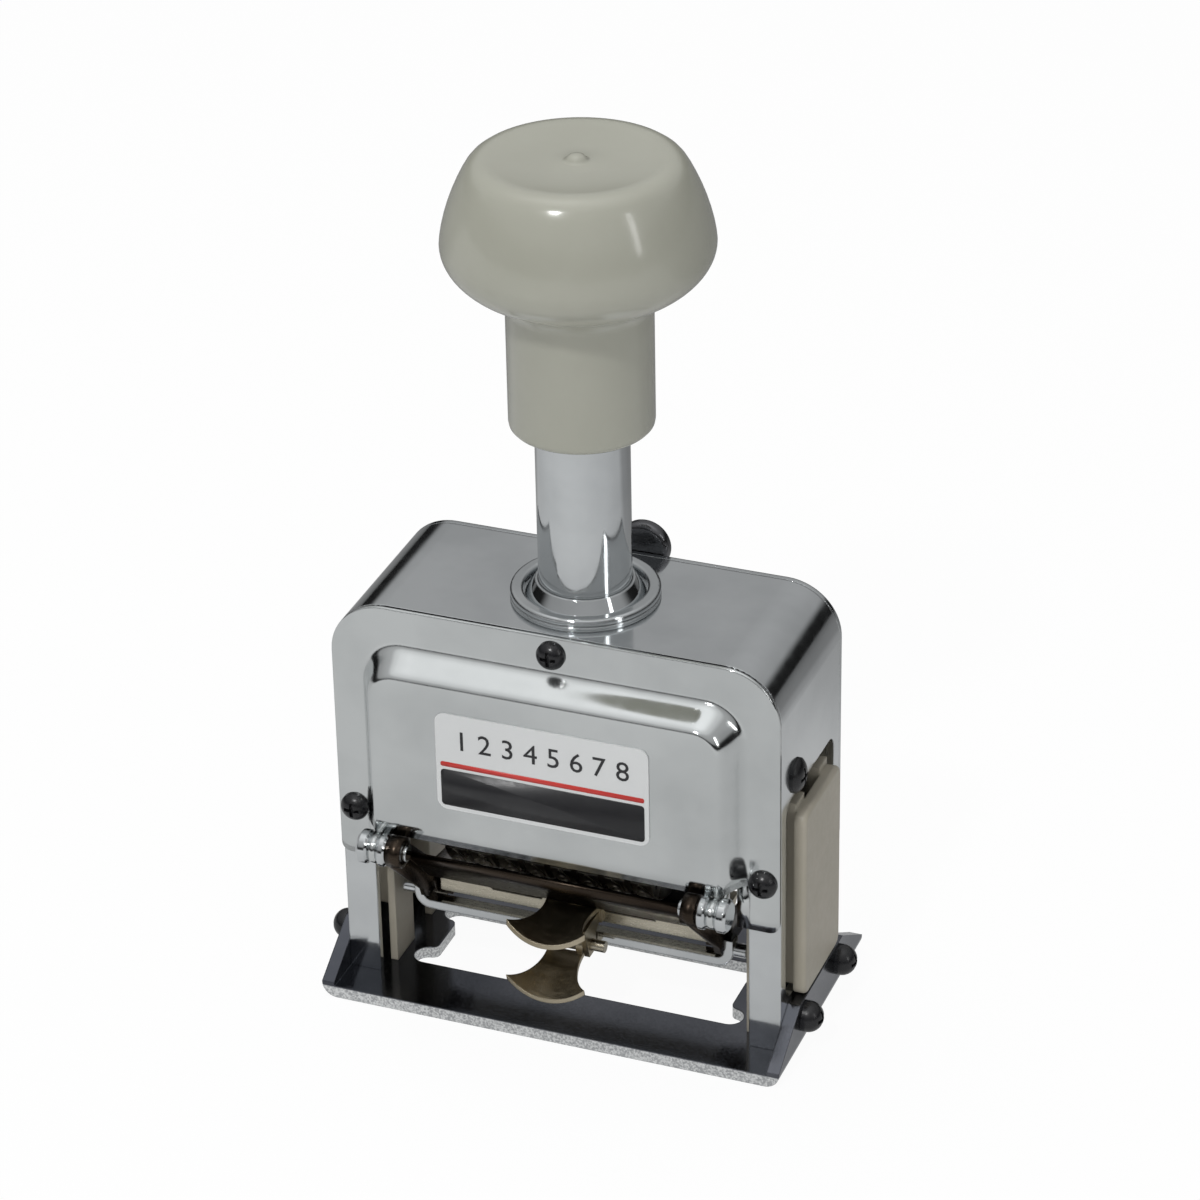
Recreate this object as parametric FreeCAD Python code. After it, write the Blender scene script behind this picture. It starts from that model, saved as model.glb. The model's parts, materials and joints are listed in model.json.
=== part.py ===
import FreeCAD, Part
import math
import os

# A self-inking automatic numbering machine: eight number wheels hang in a carriage under a
# plunger that slides in a sheet steel frame on a windowed base plate. A felt ink pad lies
# under the wheels at rest and swings out to the front as the plunger is pressed.
# Millimetres, +Z up, the front looks along -Y. Pieces are drawn about the stem's axis and then
# set back a little, so that the origin is under the middle of the whole machine's depth.

os.makedirs("parts", exist_ok=True)

# Base plate
base_half_depth = 19.8
base_sheet = 2.0
base_bend = 2.4
ear_height = 8.6
ear_top_half = 9.0
ear_foot_height = 2.6
window_front = -9.2
window_back = 7.4
window_side_room = 0.9
window_notch_reach = 2.8
window_notch_width = 4.3
window_corner = 1.2

# Frame shell: an inverted U of sheet steel with inward flanges at the front and rear
frame_side_room = 12.4
frame_half_depth = 13.3
frame_top = 67.2
frame_corner = 8.5
frame_sheet = 1.2
frame_flange = 5.0
side_hole_half = 11.0
side_hole_low = 9.5
side_hole_high = 43.8
side_hole_corner = 2.5

# Front and rear covers
cover_sheet = 0.9
cover_low = 23.5
cover_low_corner = 1.5
panel_inset = 6.6
panel_top = 59.8
panel_low = 31.2
panel_proud = 4.6
panel_slope = 4.0
panel_corner = 7.0
panel_face_round = 2.4
label_half = 16.7
label_low = 37.8
label_high = 54.2
label_corner = 1.6
label_sheet = 0.25

# Stem, knob and what guides them
stem_radius = 6.95
stem_wall = 1.25
stem_top = 118.0
bush_radius = 8.9
bush_low = 60.0
bush_top = 70.0
bush_cone_low = 67.5
bush_nose_wall = 0.4
collar_radius = 11.15
collar_bore = 9.2
collar_height = 1.5
knob_low = 95.3
knob_sleeve_radius = 10.65
knob_radius = 19.55
knob_equator = 124.2
knob_under_height = 9.8
knob_dome_height = 17.1
knob_crown_cut = 4.1
knob_rim_round = 3.2
knob_dish_radius = 12.0
knob_dish_depth = 0.7
knob_nub_radius = 1.5
knob_nub_height = 0.9
stroke = 18.0

# Return spring inside the stem, standing on a pin that a bridge holds still
bridge_sheet = 1.2
bridge_half_width = 5.0
bridge_flange_half = 12.0
bridge_leg_inner = 9.4
spring_pin_height = 48.5
spring_pin_radius = 1.5
seat_thickness = 1.4
spring_plug_low = 104.0
spring_wire = 1.1
spring_radius = 4.5

# Number wheels
wheel_count = 8
wheel_pitch = 4.28
wheel_side_gap = 1.0
wheel_radius = 10.5
wheel_root = 8.5
type_width = 3.3
ratchet_width = 0.9
ratchet_radius = 7.6
ratchet_tooth = 1.1
figures = 10
figure_gap_deg = 7.0
wheel_axis_height = 28.5
shaft_radius = 2.5

# Carriage that holds the wheels
feed_side_room = 6.76
yoke_sheet = 1.6
yoke_top = 46.0
yoke_half_depth = 9.5
yoke_bend = 3.0
yoke_leg_low = 21.8
yoke_foot_half = 5.5
yoke_back_reach = 12.2
tie_rod_radius = 1.2
tie_rod_offset = 8.3
tie_rod_drop = 3.9
shoe_half_width = 3.3
shoe_low = 33.0
shoe_high = 43.0
shoe_length = 10.8

# Pawls
pawl_width = 0.6
pawl_rod_distance = 12.5
pawl_rod_angle = 33.0
pawl_rod_radius = 0.9
feed_bar_distance = 13.0
feed_bar_angle = 65.0
feed_bar_radius = 1.1
feed_arm_sheet = 0.8
feed_hub_radius = 4.2
feed_hub_width = 2.4

# Plastic side guides
guide_rail_room = 5.9
guide_rail_sheet = 1.2
guide_rail_half = 10.0
guide_rail_high = 52.0
guide_web_half = 7.0
guide_web_low = 10.2
guide_web_high = 42.0
guide_plate_half = 8.2
guide_plate_low = 8.8
guide_plate_high = 40.8
guide_plate_sheet = 1.9

# Ink pad group, hinged in front of the covers
hinge_y = -19.6
hinge_z = 28.8
hinge_pin_radius = 1.25
hinge_disc_radius = 2.6
hinge_inner_disc = 1.5
hinge_ear = 1.2
hinge_outer_disc = 1.8
arm_room = 0.6
arm_sheet = 1.2
bar_sheet = 0.8
bar_hem_radius = 1.9
bar_edge_y = -7.4
bar_edge_z = 18.3
bar_tab_half = 13.2
bar_side_step = 1.3
bail_wire = 1.4
bail_half_depth = 1.2
bail_low = 11.9
bail_y = -7.4
bail_corner = 2.6
bail_high = 16.6
tray_side_gap = 0.9
tray_front = -6.6
tray_back = 4.0
tray_low = 14.3
tray_high = 17.1
tray_wall = 0.8
tray_back_chamfer = 2.8
pad_high = 17.7
pad_margin = 0.1
grip_sheet = 0.8
grip_saddle_radius = 10.5
grip_root_half = 4.4
grip_tip_half = 6.3
grip_tip_y = -19.4
grip_front_y = -20.7
grip_root_z = 16.1
grip_rise_deg = 5.0
grip_ear_inner = 3.2
grip_ear_sheet = 0.8
latch_y = -10.6
latch_z = 12.6
latch_pin_radius = 0.9
latch_pin_half = 6.2
latch_knuckle = 1.7
latch_tongue_drop = 0.7
latch_coil_radius = 1.25
latch_drop_deg = 16.0

# Selector lever on the rear cover
lever_pivot_z = 46.0
lever_tab_z = 67.9
lever_tab_radius = 4.1
lever_tab_thickness = 2.4
lever_sheet = 1.2
lever_half_width = 2.6
lever_lean_deg = 9.0
lever_pivot_radius = 1.5

# Fasteners
cover_screw_head = 2.2
cover_screw_height = 1.6
cover_screw_radius = 1.1
cover_screw_inset = 2.5
rear_screw_side = 18.0
cover_screw_low = 31.8
cover_screw_top = 64.3
base_screw_head = 2.4
base_screw_height = 2.9
base_screw_radius = 1.5
base_screw_y = 8.0
base_screw_z = 5.6
side_screw_head = 2.7
side_screw_height = 1.3
side_screw_y = -6.5
side_screw_z = 46.6
screw_reach = 3.2

# Clearances
running = 0.05
slide_gap = 0.2
seat_gap = 0.1
pawl_gap = 0.15
pad_gap = 0.3

# Places worked out from the sizes above
cover_y = frame_half_depth + cover_sheet
face_y = cover_y + panel_proud
axis_z = wheel_axis_height
yoke_half_inner = (wheel_side_gap + wheel_count * wheel_pitch + feed_side_room) / 2
yoke_half_outer = yoke_half_inner + yoke_sheet
wheel_left = wheel_side_gap - yoke_half_inner
tie_rod_height = yoke_top - tie_rod_drop
frame_half_width = yoke_half_outer + frame_side_room
shoe_reach = yoke_half_outer + shoe_length
guide_rail_inner = yoke_half_outer + guide_rail_room
arm_inner = yoke_half_outer + arm_room
tray_half = arm_inner - tray_side_gap
window_half = arm_inner + window_side_room
panel_half = frame_half_width - panel_inset
cover_screw_side = frame_half_width - cover_screw_inset
knob_top = knob_equator + knob_dome_height - knob_crown_cut
stem_bore = stem_radius - stem_wall
ring_outer_x = frame_half_width + base_sheet
setback = (hinge_disc_radius - hinge_y - base_half_depth) / 2


def vec(x, y, z):
    return FreeCAD.Vector(x, y, z)


def box(x0, x1, y0, y1, z0, z1):
    return Part.makeBox(x1 - x0, y1 - y0, z1 - z0, vec(x0, y0, z0))


def rod_x(x0, x1, y, z, radius):
    return Part.makeCylinder(radius, x1 - x0, vec(x0, y, z), vec(1, 0, 0))


def rod_y(y0, y1, x, z, radius):
    return Part.makeCylinder(radius, y1 - y0, vec(x, y0, z), vec(0, 1, 0))


def rod_z(z0, z1, x, y, radius):
    return Part.makeCylinder(radius, z1 - z0, vec(x, y, z0), vec(0, 0, 1))


def closed_face(points):
    return Part.Face(Part.makePolygon(points + [points[0]]))


def plate_yz(outline, x0, x1):
    """A plate across X, from an outline of (y, z) points."""
    face = closed_face([vec(x0, y, z) for y, z in outline])
    return face.extrude(vec(x1 - x0, 0, 0))


def fillet_where(shape, radius, wanted):
    """Round the edges for which wanted(edge) is true."""
    return shape.makeFillet(radius, [edge for edge in shape.Edges if wanted(edge)])


def chamfer_where(shape, size, wanted):
    return shape.makeChamfer(size, [edge for edge in shape.Edges if wanted(edge)])


def runs_along(edge, axis):
    """True for a straight edge parallel to the unit vector axis."""
    start = edge.Vertexes[0].Point
    end = edge.Vertexes[-1].Point
    span = end - start
    return span.Length > 1e-6 and abs(abs(span.normalize().dot(axis)) - 1) < 1e-6


def near(value, target):
    return abs(value - target) < 1e-4


X_AXIS = vec(1, 0, 0)
Y_AXIS = vec(0, 1, 0)
Z_AXIS = vec(0, 0, 1)


def fuse(shapes):
    result = shapes[0]
    for shape in shapes[1:]:
        result = result.fuse(shape)
    return result.removeSplitter()


def both_sides(shape):
    """The shape and its mirror image across the middle plane, as two solids."""
    return [shape, shape.mirror(vec(0, 0, 0), X_AXIS)]


def mirrored(shape):
    return shape.mirror(vec(0, 0, 0), X_AXIS)


def save(name, shapes):
    """Write one node, which is one solid or a group of separate ones."""
    solids = []
    for shape in shapes if isinstance(shapes, list) else [shapes]:
        solids.extend(shape.Solids)
    for solid in solids:
        if not solid.isValid() or solid.Volume <= 0:
            print("not a sound solid:", name)
    shape = solids[0] if len(solids) == 1 else Part.makeCompound(solids)
    shape = shape.copy()
    shape.translate(vec(0, setback, 0))
    shape.exportStep("parts/" + name + ".step")


def arch(half_width, low, high, corner, y0, y1):
    """An upright block with its two top corners rounded, across Y."""
    block = box(-half_width, half_width, y0, y1, low, high)
    return fillet_where(block, corner, lambda e: runs_along(e, Y_AXIS) and near(e.CenterOfMass.z, high))


def revolved(outline, centre_x=0.0, centre_y=0.0):
    """Turn an outline of (radius, z) points about an upright axis."""
    face = closed_face([vec(r, 0, z) for r, z in outline])
    solid = face.revolve(vec(0, 0, 0), Z_AXIS, 360)
    solid.translate(vec(centre_x, centre_y, 0))
    return solid


def dome_screw(head_radius, head_height, shank_radius, reach):
    """A dome-head screw along +Z, its head's seat at the origin."""
    edge_height = head_height * 0.25
    low = vec(head_radius, 0, 0)
    rim = vec(head_radius, 0, edge_height)
    top = vec(0, 0, head_height)
    swell = vec(head_radius * 0.72, 0, edge_height + (head_height - edge_height) * 0.70)
    edges = [
        Part.makeLine(vec(0, 0, -reach), vec(shank_radius, 0, -reach)),
        Part.makeLine(vec(shank_radius, 0, -reach), vec(shank_radius, 0, 0)),
        Part.makeLine(vec(shank_radius, 0, 0), low),
        Part.makeLine(low, rim),
        Part.Arc(rim, swell, top).toShape(),
        Part.makeLine(top, vec(0, 0, -reach)),
    ]
    solid = Part.Face(Part.Wire(edges)).revolve(vec(0, 0, 0), Z_AXIS, 360)
    slot = head_height * 0.45
    cross = fuse([
        box(-head_radius * 0.55, head_radius * 0.55, -0.28, 0.28, head_height - slot, head_height + 1),
        box(-0.28, 0.28, -head_radius * 0.55, head_radius * 0.55, head_height - slot, head_height + 1),
    ])
    return solid.cut(cross)


def aim(shape, direction, place):
    """Turn a piece made along +Z to point along direction, then move it to place."""
    turned = shape.copy()
    turned.Placement = FreeCAD.Placement(place, FreeCAD.Rotation(Z_AXIS, direction))
    return turned


def front_screw_places():
    places = [(0.0, cover_screw_top)]
    for side in (-1, 1):
        places.append((side * cover_screw_side, cover_screw_low))
    return places


def rear_screw_places():
    """The rear cover's upper screws stand clear of the selector lever."""
    places = []
    for side in (-1, 1):
        places.append((side * rear_screw_side, cover_screw_top))
        places.append((side * cover_screw_side, cover_screw_low))
    return places


def base_plate():
    outer = frame_half_width + base_sheet
    tray = box(-outer, outer, -base_half_depth, base_half_depth, 0, ear_height)
    tray = fillet_where(tray, base_bend, lambda e: runs_along(e, Y_AXIS) and near(e.CenterOfMass.z, 0))
    tray = tray.cut(box(-frame_half_width, frame_half_width, -base_half_depth - 1,
                        base_half_depth + 1, base_sheet, ear_height + 1))
    slope = plate_yz([
        (-base_half_depth, -1), (base_half_depth, -1), (base_half_depth, ear_foot_height),
        (ear_top_half + 1.0, ear_height), (-ear_top_half - 1.0, ear_height),
        (-base_half_depth, ear_foot_height)], -outer - 1, outer + 1)
    tray = tray.common(slope)
    window = box(-window_half, window_half, window_front, window_back, -1, base_sheet + 1)
    notch_radius = window_notch_width / 2
    for row_y in (window_front + notch_radius, window_back - notch_radius):
        reach = window_half + window_notch_reach - notch_radius
        window = window.fuse(box(-reach, reach, row_y - notch_radius, row_y + notch_radius,
                                 -1, base_sheet + 1))
        for side in (-1, 1):
            window = window.fuse(rod_z(-1, base_sheet + 1, side * reach, row_y, notch_radius))
    window = window.removeSplitter()
    tip_low = window_front + window_notch_width
    tip_high = window_back - window_notch_width
    window = fillet_where(window, window_corner, lambda e: runs_along(e, Z_AXIS)
                          and near(abs(e.CenterOfMass.x), window_half)
                          and (near(e.CenterOfMass.y, tip_low) or near(e.CenterOfMass.y, tip_high)))
    tray = tray.cut(window)
    for side in (-1, 1):
        for y in (-base_screw_y, base_screw_y):
            tray = tray.cut(rod_x(side * (outer - base_sheet / 2) - base_sheet,
                                  side * (outer - base_sheet / 2) + base_sheet,
                                  y, base_screw_z, base_screw_radius + running))
    return tray


def frame_shell():
    shell = arch(frame_half_width, base_sheet, frame_top, frame_corner,
                 -frame_half_depth, frame_half_depth)
    inner_depth = frame_half_depth - frame_sheet
    cavity = arch(frame_half_width - frame_sheet, base_sheet - 1, frame_top - frame_sheet,
                  frame_corner - frame_sheet, -inner_depth, inner_depth)
    mouth = arch(frame_half_width - frame_flange, base_sheet - 1, frame_top - frame_flange,
                 frame_corner - frame_flange, -frame_half_depth - 1, frame_half_depth + 1)
    shell = shell.cut(cavity).cut(mouth)
    side_hole = box(-frame_half_width - 1, frame_half_width + 1, -side_hole_half, side_hole_half,
                    side_hole_low, side_hole_high)
    side_hole = fillet_where(side_hole, side_hole_corner, lambda e: runs_along(e, X_AXIS))
    shell = shell.cut(side_hole)
    shell = shell.cut(rod_z(frame_top - 5, frame_top + 1, 0, 0, bush_radius + running))
    drill = cover_screw_radius + running
    for x, z in front_screw_places():
        shell = shell.cut(rod_y(-frame_half_depth - 1, 0, x, z, drill))
    for x, z in rear_screw_places():
        shell = shell.cut(rod_y(0, frame_half_depth + 1, x, z, drill))
    for y in (-base_screw_y, base_screw_y):
        shell = shell.cut(rod_x(-frame_half_width - 1, frame_half_width + 1, y, base_screw_z,
                                base_screw_radius + running))
    shell = shell.cut(rod_x(-frame_half_width - 1, frame_half_width + 1, side_screw_y,
                            side_screw_z, drill))
    return shell


def panel_outline(half_width, low, high, corner, y):
    """A closed wire across Y with its two top corners rounded."""
    diagonal = corner * (1 - math.sqrt(0.5))
    return Part.Wire([
        Part.makeLine(vec(-half_width, y, low), vec(-half_width, y, high - corner)),
        Part.Arc(vec(-half_width, y, high - corner), vec(-half_width + diagonal, y, high - diagonal),
                 vec(-half_width + corner, y, high)).toShape(),
        Part.makeLine(vec(-half_width + corner, y, high), vec(half_width - corner, y, high)),
        Part.Arc(vec(half_width - corner, y, high), vec(half_width - diagonal, y, high - diagonal),
                 vec(half_width, y, high - corner)).toShape(),
        Part.makeLine(vec(half_width, y, high - corner), vec(half_width, y, low)),
        Part.makeLine(vec(half_width, y, low), vec(-half_width, y, low)),
    ])


def panel_block(inset, back_y, front_y, low):
    """The raised panel as a solid, drawn in by inset on its sides."""
    foot = panel_outline(panel_half - inset, low, panel_top - inset, panel_corner - inset, back_y)
    face = panel_outline(panel_half - panel_slope - inset, low, panel_top - panel_slope - inset,
                         panel_corner - inset - panel_slope * 0.5, front_y)
    block = Part.makeLoft([foot, face], True, True)
    rim = panel_face_round - inset * 0.5
    return fillet_where(block, rim, lambda e: near(e.BoundBox.YMin, front_y)
                        and near(e.BoundBox.YMax, front_y) and e.BoundBox.ZMax > low + 1)


def hinge_ear_shape():
    """The ear under a lower corner of the raised panel that holds a hinge pin."""
    x0 = arm_inner + arm_sheet + slide_gap + hinge_inner_disc + seat_gap
    strap_y = -cover_y - panel_proud * 0.3
    outline = [
        (-cover_y, panel_low + 4), (strap_y, panel_low + 4), (strap_y, panel_low),
        (hinge_y + 0.4, hinge_z + 2.2), (hinge_y - 1.2, hinge_z - 2.0), (-cover_y, hinge_z - 1.2)]
    ear = plate_yz(outline, x0, x0 + hinge_ear)
    ear = ear.fuse(rod_x(x0, x0 + hinge_ear, hinge_y, hinge_z, hinge_disc_radius - 0.3))
    return ear.removeSplitter()


def front_cover():
    plate = arch(frame_half_width, cover_low, frame_top, frame_corner, -cover_y, -frame_half_depth)
    plate = fillet_where(plate, cover_low_corner, lambda e: runs_along(e, Y_AXIS)
                         and near(e.CenterOfMass.z, cover_low))
    low = panel_low - 12
    cover = plate.fuse(panel_block(0.0, -cover_y + 0.01, -face_y, low))
    cover = cover.cut(panel_block(cover_sheet, -frame_half_depth + 0.2, -face_y + cover_sheet, low - 1))
    cover = cover.cut(box(-panel_half, panel_half, -face_y - 1, 0, low - 2, panel_low))
    ears = both_sides(hinge_ear_shape())
    cover = fuse([cover] + ears)
    drill = cover_screw_radius + running
    for x, z in front_screw_places():
        cover = cover.cut(rod_y(-cover_y - 1, 0, x, z, drill))
    cover = cover.cut(rod_x(-panel_half, panel_half, hinge_y, hinge_z, hinge_pin_radius + running))
    return cover


def rear_cover():
    plate = arch(frame_half_width, cover_low, frame_top, frame_corner, frame_half_depth, cover_y)
    plate = fillet_where(plate, cover_low_corner, lambda e: runs_along(e, Y_AXIS)
                         and near(e.CenterOfMass.z, cover_low))
    for x, z in rear_screw_places():
        plate = plate.cut(rod_y(0, cover_y + 1, x, z, cover_screw_radius + running))
    return plate.cut(rod_y(0, cover_y + 1, 0, lever_pivot_z, lever_pivot_radius + running))


def label_plate():
    plate = box(-label_half, label_half, -face_y - label_sheet, -face_y, label_low, label_high)
    return fillet_where(plate, label_corner, lambda e: runs_along(e, Y_AXIS))


def collar_ring():
    low = frame_top
    high = frame_top + collar_height
    ring = revolved([(collar_bore, low), (collar_radius, low), (collar_radius, high),
                     (collar_bore, high)])
    ring = fillet_where(ring, 0.5, lambda e: near(e.BoundBox.ZMin, high))
    groove = revolved([(collar_radius - 0.25, low + 0.3), (collar_radius + 1, low + 0.3),
                       (collar_radius + 1, low + 0.6), (collar_radius - 0.25, low + 0.6)])
    return ring.cut(groove)


def guide_bush():
    bore = stem_radius + running
    nose = bore + bush_nose_wall
    return revolved([(bore, bush_low), (bush_radius, bush_low), (bush_radius, bush_cone_low),
                     (nose, bush_top), (bore, bush_top)]).cut(
        box(-spring_pin_radius - slide_gap, spring_pin_radius + slide_gap, -bush_radius - 1,
            bush_radius + 1, bush_low - 1, bush_low + 1))


def spring_bridge():
    top = frame_top - frame_sheet
    leg_outer = bridge_leg_inner + bridge_sheet
    flange = box(-bridge_flange_half, bridge_flange_half, -leg_outer, leg_outer,
                 top - bridge_sheet, top)
    bridge = flange
    for side in (-1, 1):
        y0, y1 = sorted((side * bridge_leg_inner, side * leg_outer))
        leg = box(-bridge_half_width, bridge_half_width, y0, y1,
                  spring_pin_height - spring_pin_radius - 0.4, top)
        leg = fillet_where(leg, 1.2, lambda e: runs_along(e, Y_AXIS) and e.CenterOfMass.z < top - 2)
        bridge = bridge.fuse(leg)
    bridge = bridge.removeSplitter()
    bridge = bridge.cut(rod_z(top - 3, top + 1, 0, 0, bush_radius + running))
    return bridge.cut(rod_y(-leg_outer - 1, leg_outer + 1, 0, spring_pin_height,
                            spring_pin_radius + running))


def spring_seat_pin():
    reach = bridge_leg_inner + bridge_sheet
    return rod_y(-reach, reach, 0, spring_pin_height, spring_pin_radius)


def spring_seat():
    low = spring_pin_height + spring_pin_radius
    return revolved([(0, low), (stem_bore - slide_gap, low),
                     (stem_bore - slide_gap, low + seat_thickness), (0, low + seat_thickness)])


def knob():
    bore = stem_radius + running
    lower = Part.Ellipse(vec(knob_radius, 0, knob_equator),
                         vec(0, 0, knob_equator - knob_under_height), vec(0, 0, knob_equator))
    upper = Part.Ellipse(vec(knob_radius, 0, knob_equator),
                         vec(0, 0, knob_equator + knob_dome_height), vec(0, 0, knob_equator))
    lower_end = math.acos(knob_sleeve_radius / knob_radius)
    upper_end = math.asin((knob_top - knob_equator) / knob_dome_height)
    join_z = knob_equator - knob_under_height * math.sin(lower_end)
    rim_radius = knob_radius * math.cos(upper_end)
    edges = [
        Part.makeLine(vec(bore, 0, knob_low), vec(knob_sleeve_radius, 0, knob_low)),
        Part.makeLine(vec(knob_sleeve_radius, 0, knob_low), vec(knob_sleeve_radius, 0, join_z)),
        Part.ArcOfEllipse(lower, 0, lower_end).toShape(),
        Part.ArcOfEllipse(upper, 0, upper_end).toShape(),
        Part.makeLine(vec(rim_radius, 0, knob_top), vec(0, 0, knob_top)),
        Part.makeLine(vec(0, 0, knob_top), vec(0, 0, stem_top)),
        Part.makeLine(vec(0, 0, stem_top), vec(bore, 0, stem_top)),
        Part.makeLine(vec(bore, 0, stem_top), vec(bore, 0, knob_low)),
    ]
    wire = Part.Wire(Part.__sortEdges__(edges))
    body = Part.Face(wire).revolve(vec(0, 0, 0), Z_AXIS, 360)
    body = fillet_where(body, knob_rim_round, lambda e: near(e.BoundBox.ZMin, knob_top)
                        and near(e.BoundBox.ZMax, knob_top))
    body = fillet_where(body, 1.6, lambda e: near(e.BoundBox.ZMin, join_z)
                        and near(e.BoundBox.ZMax, join_z))
    body = fillet_where(body, 1.4, lambda e: near(e.BoundBox.ZMax, knob_low)
                        and e.BoundBox.XMax > knob_sleeve_radius - 0.5)
    dish_sphere = (knob_dish_radius ** 2 + knob_dish_depth ** 2) / (2 * knob_dish_depth)
    body = body.cut(Part.makeSphere(dish_sphere, vec(0, 0, knob_top - knob_dish_depth + dish_sphere)))
    nub_sphere = (knob_nub_radius ** 2 + knob_nub_height ** 2) / (2 * knob_nub_height)
    nub_top = knob_top - knob_dish_depth + knob_nub_height
    nub = Part.makeSphere(nub_sphere, vec(0, 0, nub_top - nub_sphere))
    nub = nub.common(rod_z(knob_top - 2, knob_top + 2, 0, 0, knob_nub_radius + 0.3))
    return body.fuse(nub).removeSplitter()


def stem_tube():
    foot = yoke_top - yoke_sheet
    tube = revolved([(stem_bore, foot), (stem_radius, foot), (stem_radius, stem_top),
                     (stem_bore, stem_top)])
    slot_half = spring_pin_radius + slide_gap
    low = spring_pin_height - slide_gap
    high = spring_pin_height + stroke + slide_gap
    slot = box(-slot_half, slot_half, -stem_radius - 1, stem_radius + 1, low, high)
    for end in (low, high):
        slot = slot.fuse(rod_y(-stem_radius - 1, stem_radius + 1, 0, end, slot_half))
    return tube.cut(slot.removeSplitter())


def spring_plug():
    radius = stem_bore - running
    return revolved([(0, spring_plug_low), (radius, spring_plug_low), (radius, stem_top), (0, stem_top)])


def main_spring():
    low = spring_pin_height + spring_pin_radius + seat_thickness
    inner = spring_radius - spring_wire / 2
    outer = spring_radius + spring_wire / 2
    return revolved([(inner, low), (outer, low), (outer, spring_plug_low), (inner, spring_plug_low)])


def polar(distance, degrees):
    """A point at a distance and angle about the wheel axis, the angle counted from +Y up."""
    turn = math.radians(degrees)
    return (distance * math.cos(turn), axis_z + distance * math.sin(turn))


def yoke_outline():
    shaft_front = -yoke_half_depth
    return [
        (shaft_front, yoke_top), (shaft_front, axis_z + 9), (-yoke_foot_half, yoke_leg_low),
        (yoke_foot_half, yoke_leg_low), (yoke_back_reach, axis_z + 3.5),
        (yoke_back_reach, axis_z + 9.5), (yoke_half_depth, yoke_top)]


def carriage_yoke():
    block = box(-yoke_half_outer, yoke_half_outer, -yoke_half_depth, yoke_back_reach,
                yoke_leg_low, yoke_top)
    block = fillet_where(block, yoke_bend, lambda e: runs_along(e, Y_AXIS) and near(e.CenterOfMass.z, yoke_top))
    inside = box(-yoke_half_inner, yoke_half_inner, -yoke_half_depth - 1, yoke_back_reach + 1,
                 yoke_leg_low - 1, yoke_top - yoke_sheet)
    inside = fillet_where(inside, yoke_bend - yoke_sheet, lambda e: runs_along(e, Y_AXIS)
                          and near(e.CenterOfMass.z, yoke_top - yoke_sheet))
    yoke = block.cut(inside)
    yoke = yoke.common(plate_yz(yoke_outline(), -yoke_half_outer - 1, yoke_half_outer + 1))
    yoke = yoke.cut(rod_z(yoke_top - 3, yoke_top + 1, 0, 0, stem_radius + running))
    yoke = yoke.cut(rod_x(-yoke_half_outer - 1, yoke_half_outer + 1, 0, axis_z, shaft_radius + running))
    y, z = polar(pawl_rod_distance, pawl_rod_angle)
    yoke = yoke.cut(rod_x(-yoke_half_outer - 1, yoke_half_outer + 1, y, z, pawl_rod_radius + running))
    for side in (-1, 1):
        yoke = yoke.cut(rod_x(-yoke_half_outer - 1, yoke_half_outer + 1, side * tie_rod_offset,
                              tie_rod_height, tie_rod_radius + running))
    return yoke


def guide_shoe():
    """The lug on one side of the carriage that slides in the slot of a side guide."""
    shoe = box(yoke_half_outer, shoe_reach, -shoe_half_width, shoe_half_width, shoe_low, shoe_high)
    shoe = fillet_where(shoe, 1.0, lambda e: runs_along(e, X_AXIS))
    slot = box(yoke_half_outer + 3, shoe_reach - 1.5, -shoe_half_width - 1, shoe_half_width + 1,
               shoe_low + 2.5, shoe_high - 2.5)
    return shoe.cut(slot)


def wheel_shaft():
    reach = yoke_half_outer + 0.4
    shaft = rod_x(-reach, reach, 0, axis_z, shaft_radius)
    return chamfer_where(shaft, 0.3, lambda e: near(abs(e.CenterOfMass.x), reach))


def tie_rods():
    rods = []
    for side in (-1, 1):
        rods.append(rod_x(-yoke_half_outer, yoke_half_outer, side * tie_rod_offset, tie_rod_height,
                          tie_rod_radius))
    return rods


def wheel_start(index):
    """The X of the left face of a number wheel, counted from 0."""
    return wheel_left + index * wheel_pitch


def number_wheel(index):
    """A type ring of ten figure blocks with a ten-tooth ratchet on its right."""
    x0 = wheel_start(index)
    x1 = x0 + type_width
    x2 = x1 + ratchet_width
    rim = rod_x(x0, x1, 0, axis_z, wheel_radius)
    step = 360.0 / figures
    for count in range(figures):
        middle = (count + 0.5) * step
        outline = [
            polar(wheel_root, middle - figure_gap_deg * 0.3),
            polar(wheel_radius + 1, middle - figure_gap_deg * 0.8),
            polar(wheel_radius + 1, middle + figure_gap_deg * 0.8),
            polar(wheel_root, middle + figure_gap_deg * 0.3)]
        rim = rim.cut(plate_yz(outline, x0 - 1, x1 + 1))
    teeth = []
    for count in range(figures):
        teeth.append(polar(ratchet_radius, count * step))
        teeth.append(polar(ratchet_radius - ratchet_tooth, count * step + 4))
    ratchet = plate_yz(teeth, x1, x2)
    wheel = rim.fuse(ratchet).removeSplitter()
    return wheel.cut(rod_x(x0 - 1, x2 + 1, 0, axis_z, shaft_radius + running))


def pawl_finger(index, distance, degrees, lean):
    """A finger from a rod in to the swept circle of one ratchet."""
    x0 = wheel_start(index) + type_width + (ratchet_width - pawl_width) / 2
    tip = ratchet_radius + pawl_gap
    outline = [
        polar(distance, degrees - 4), polar(tip + 0.2, degrees - lean - 3.0),
        polar(tip + 0.1, degrees - lean), polar(distance, degrees + 4)]
    return plate_yz(outline, x0, x0 + pawl_width)


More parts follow.
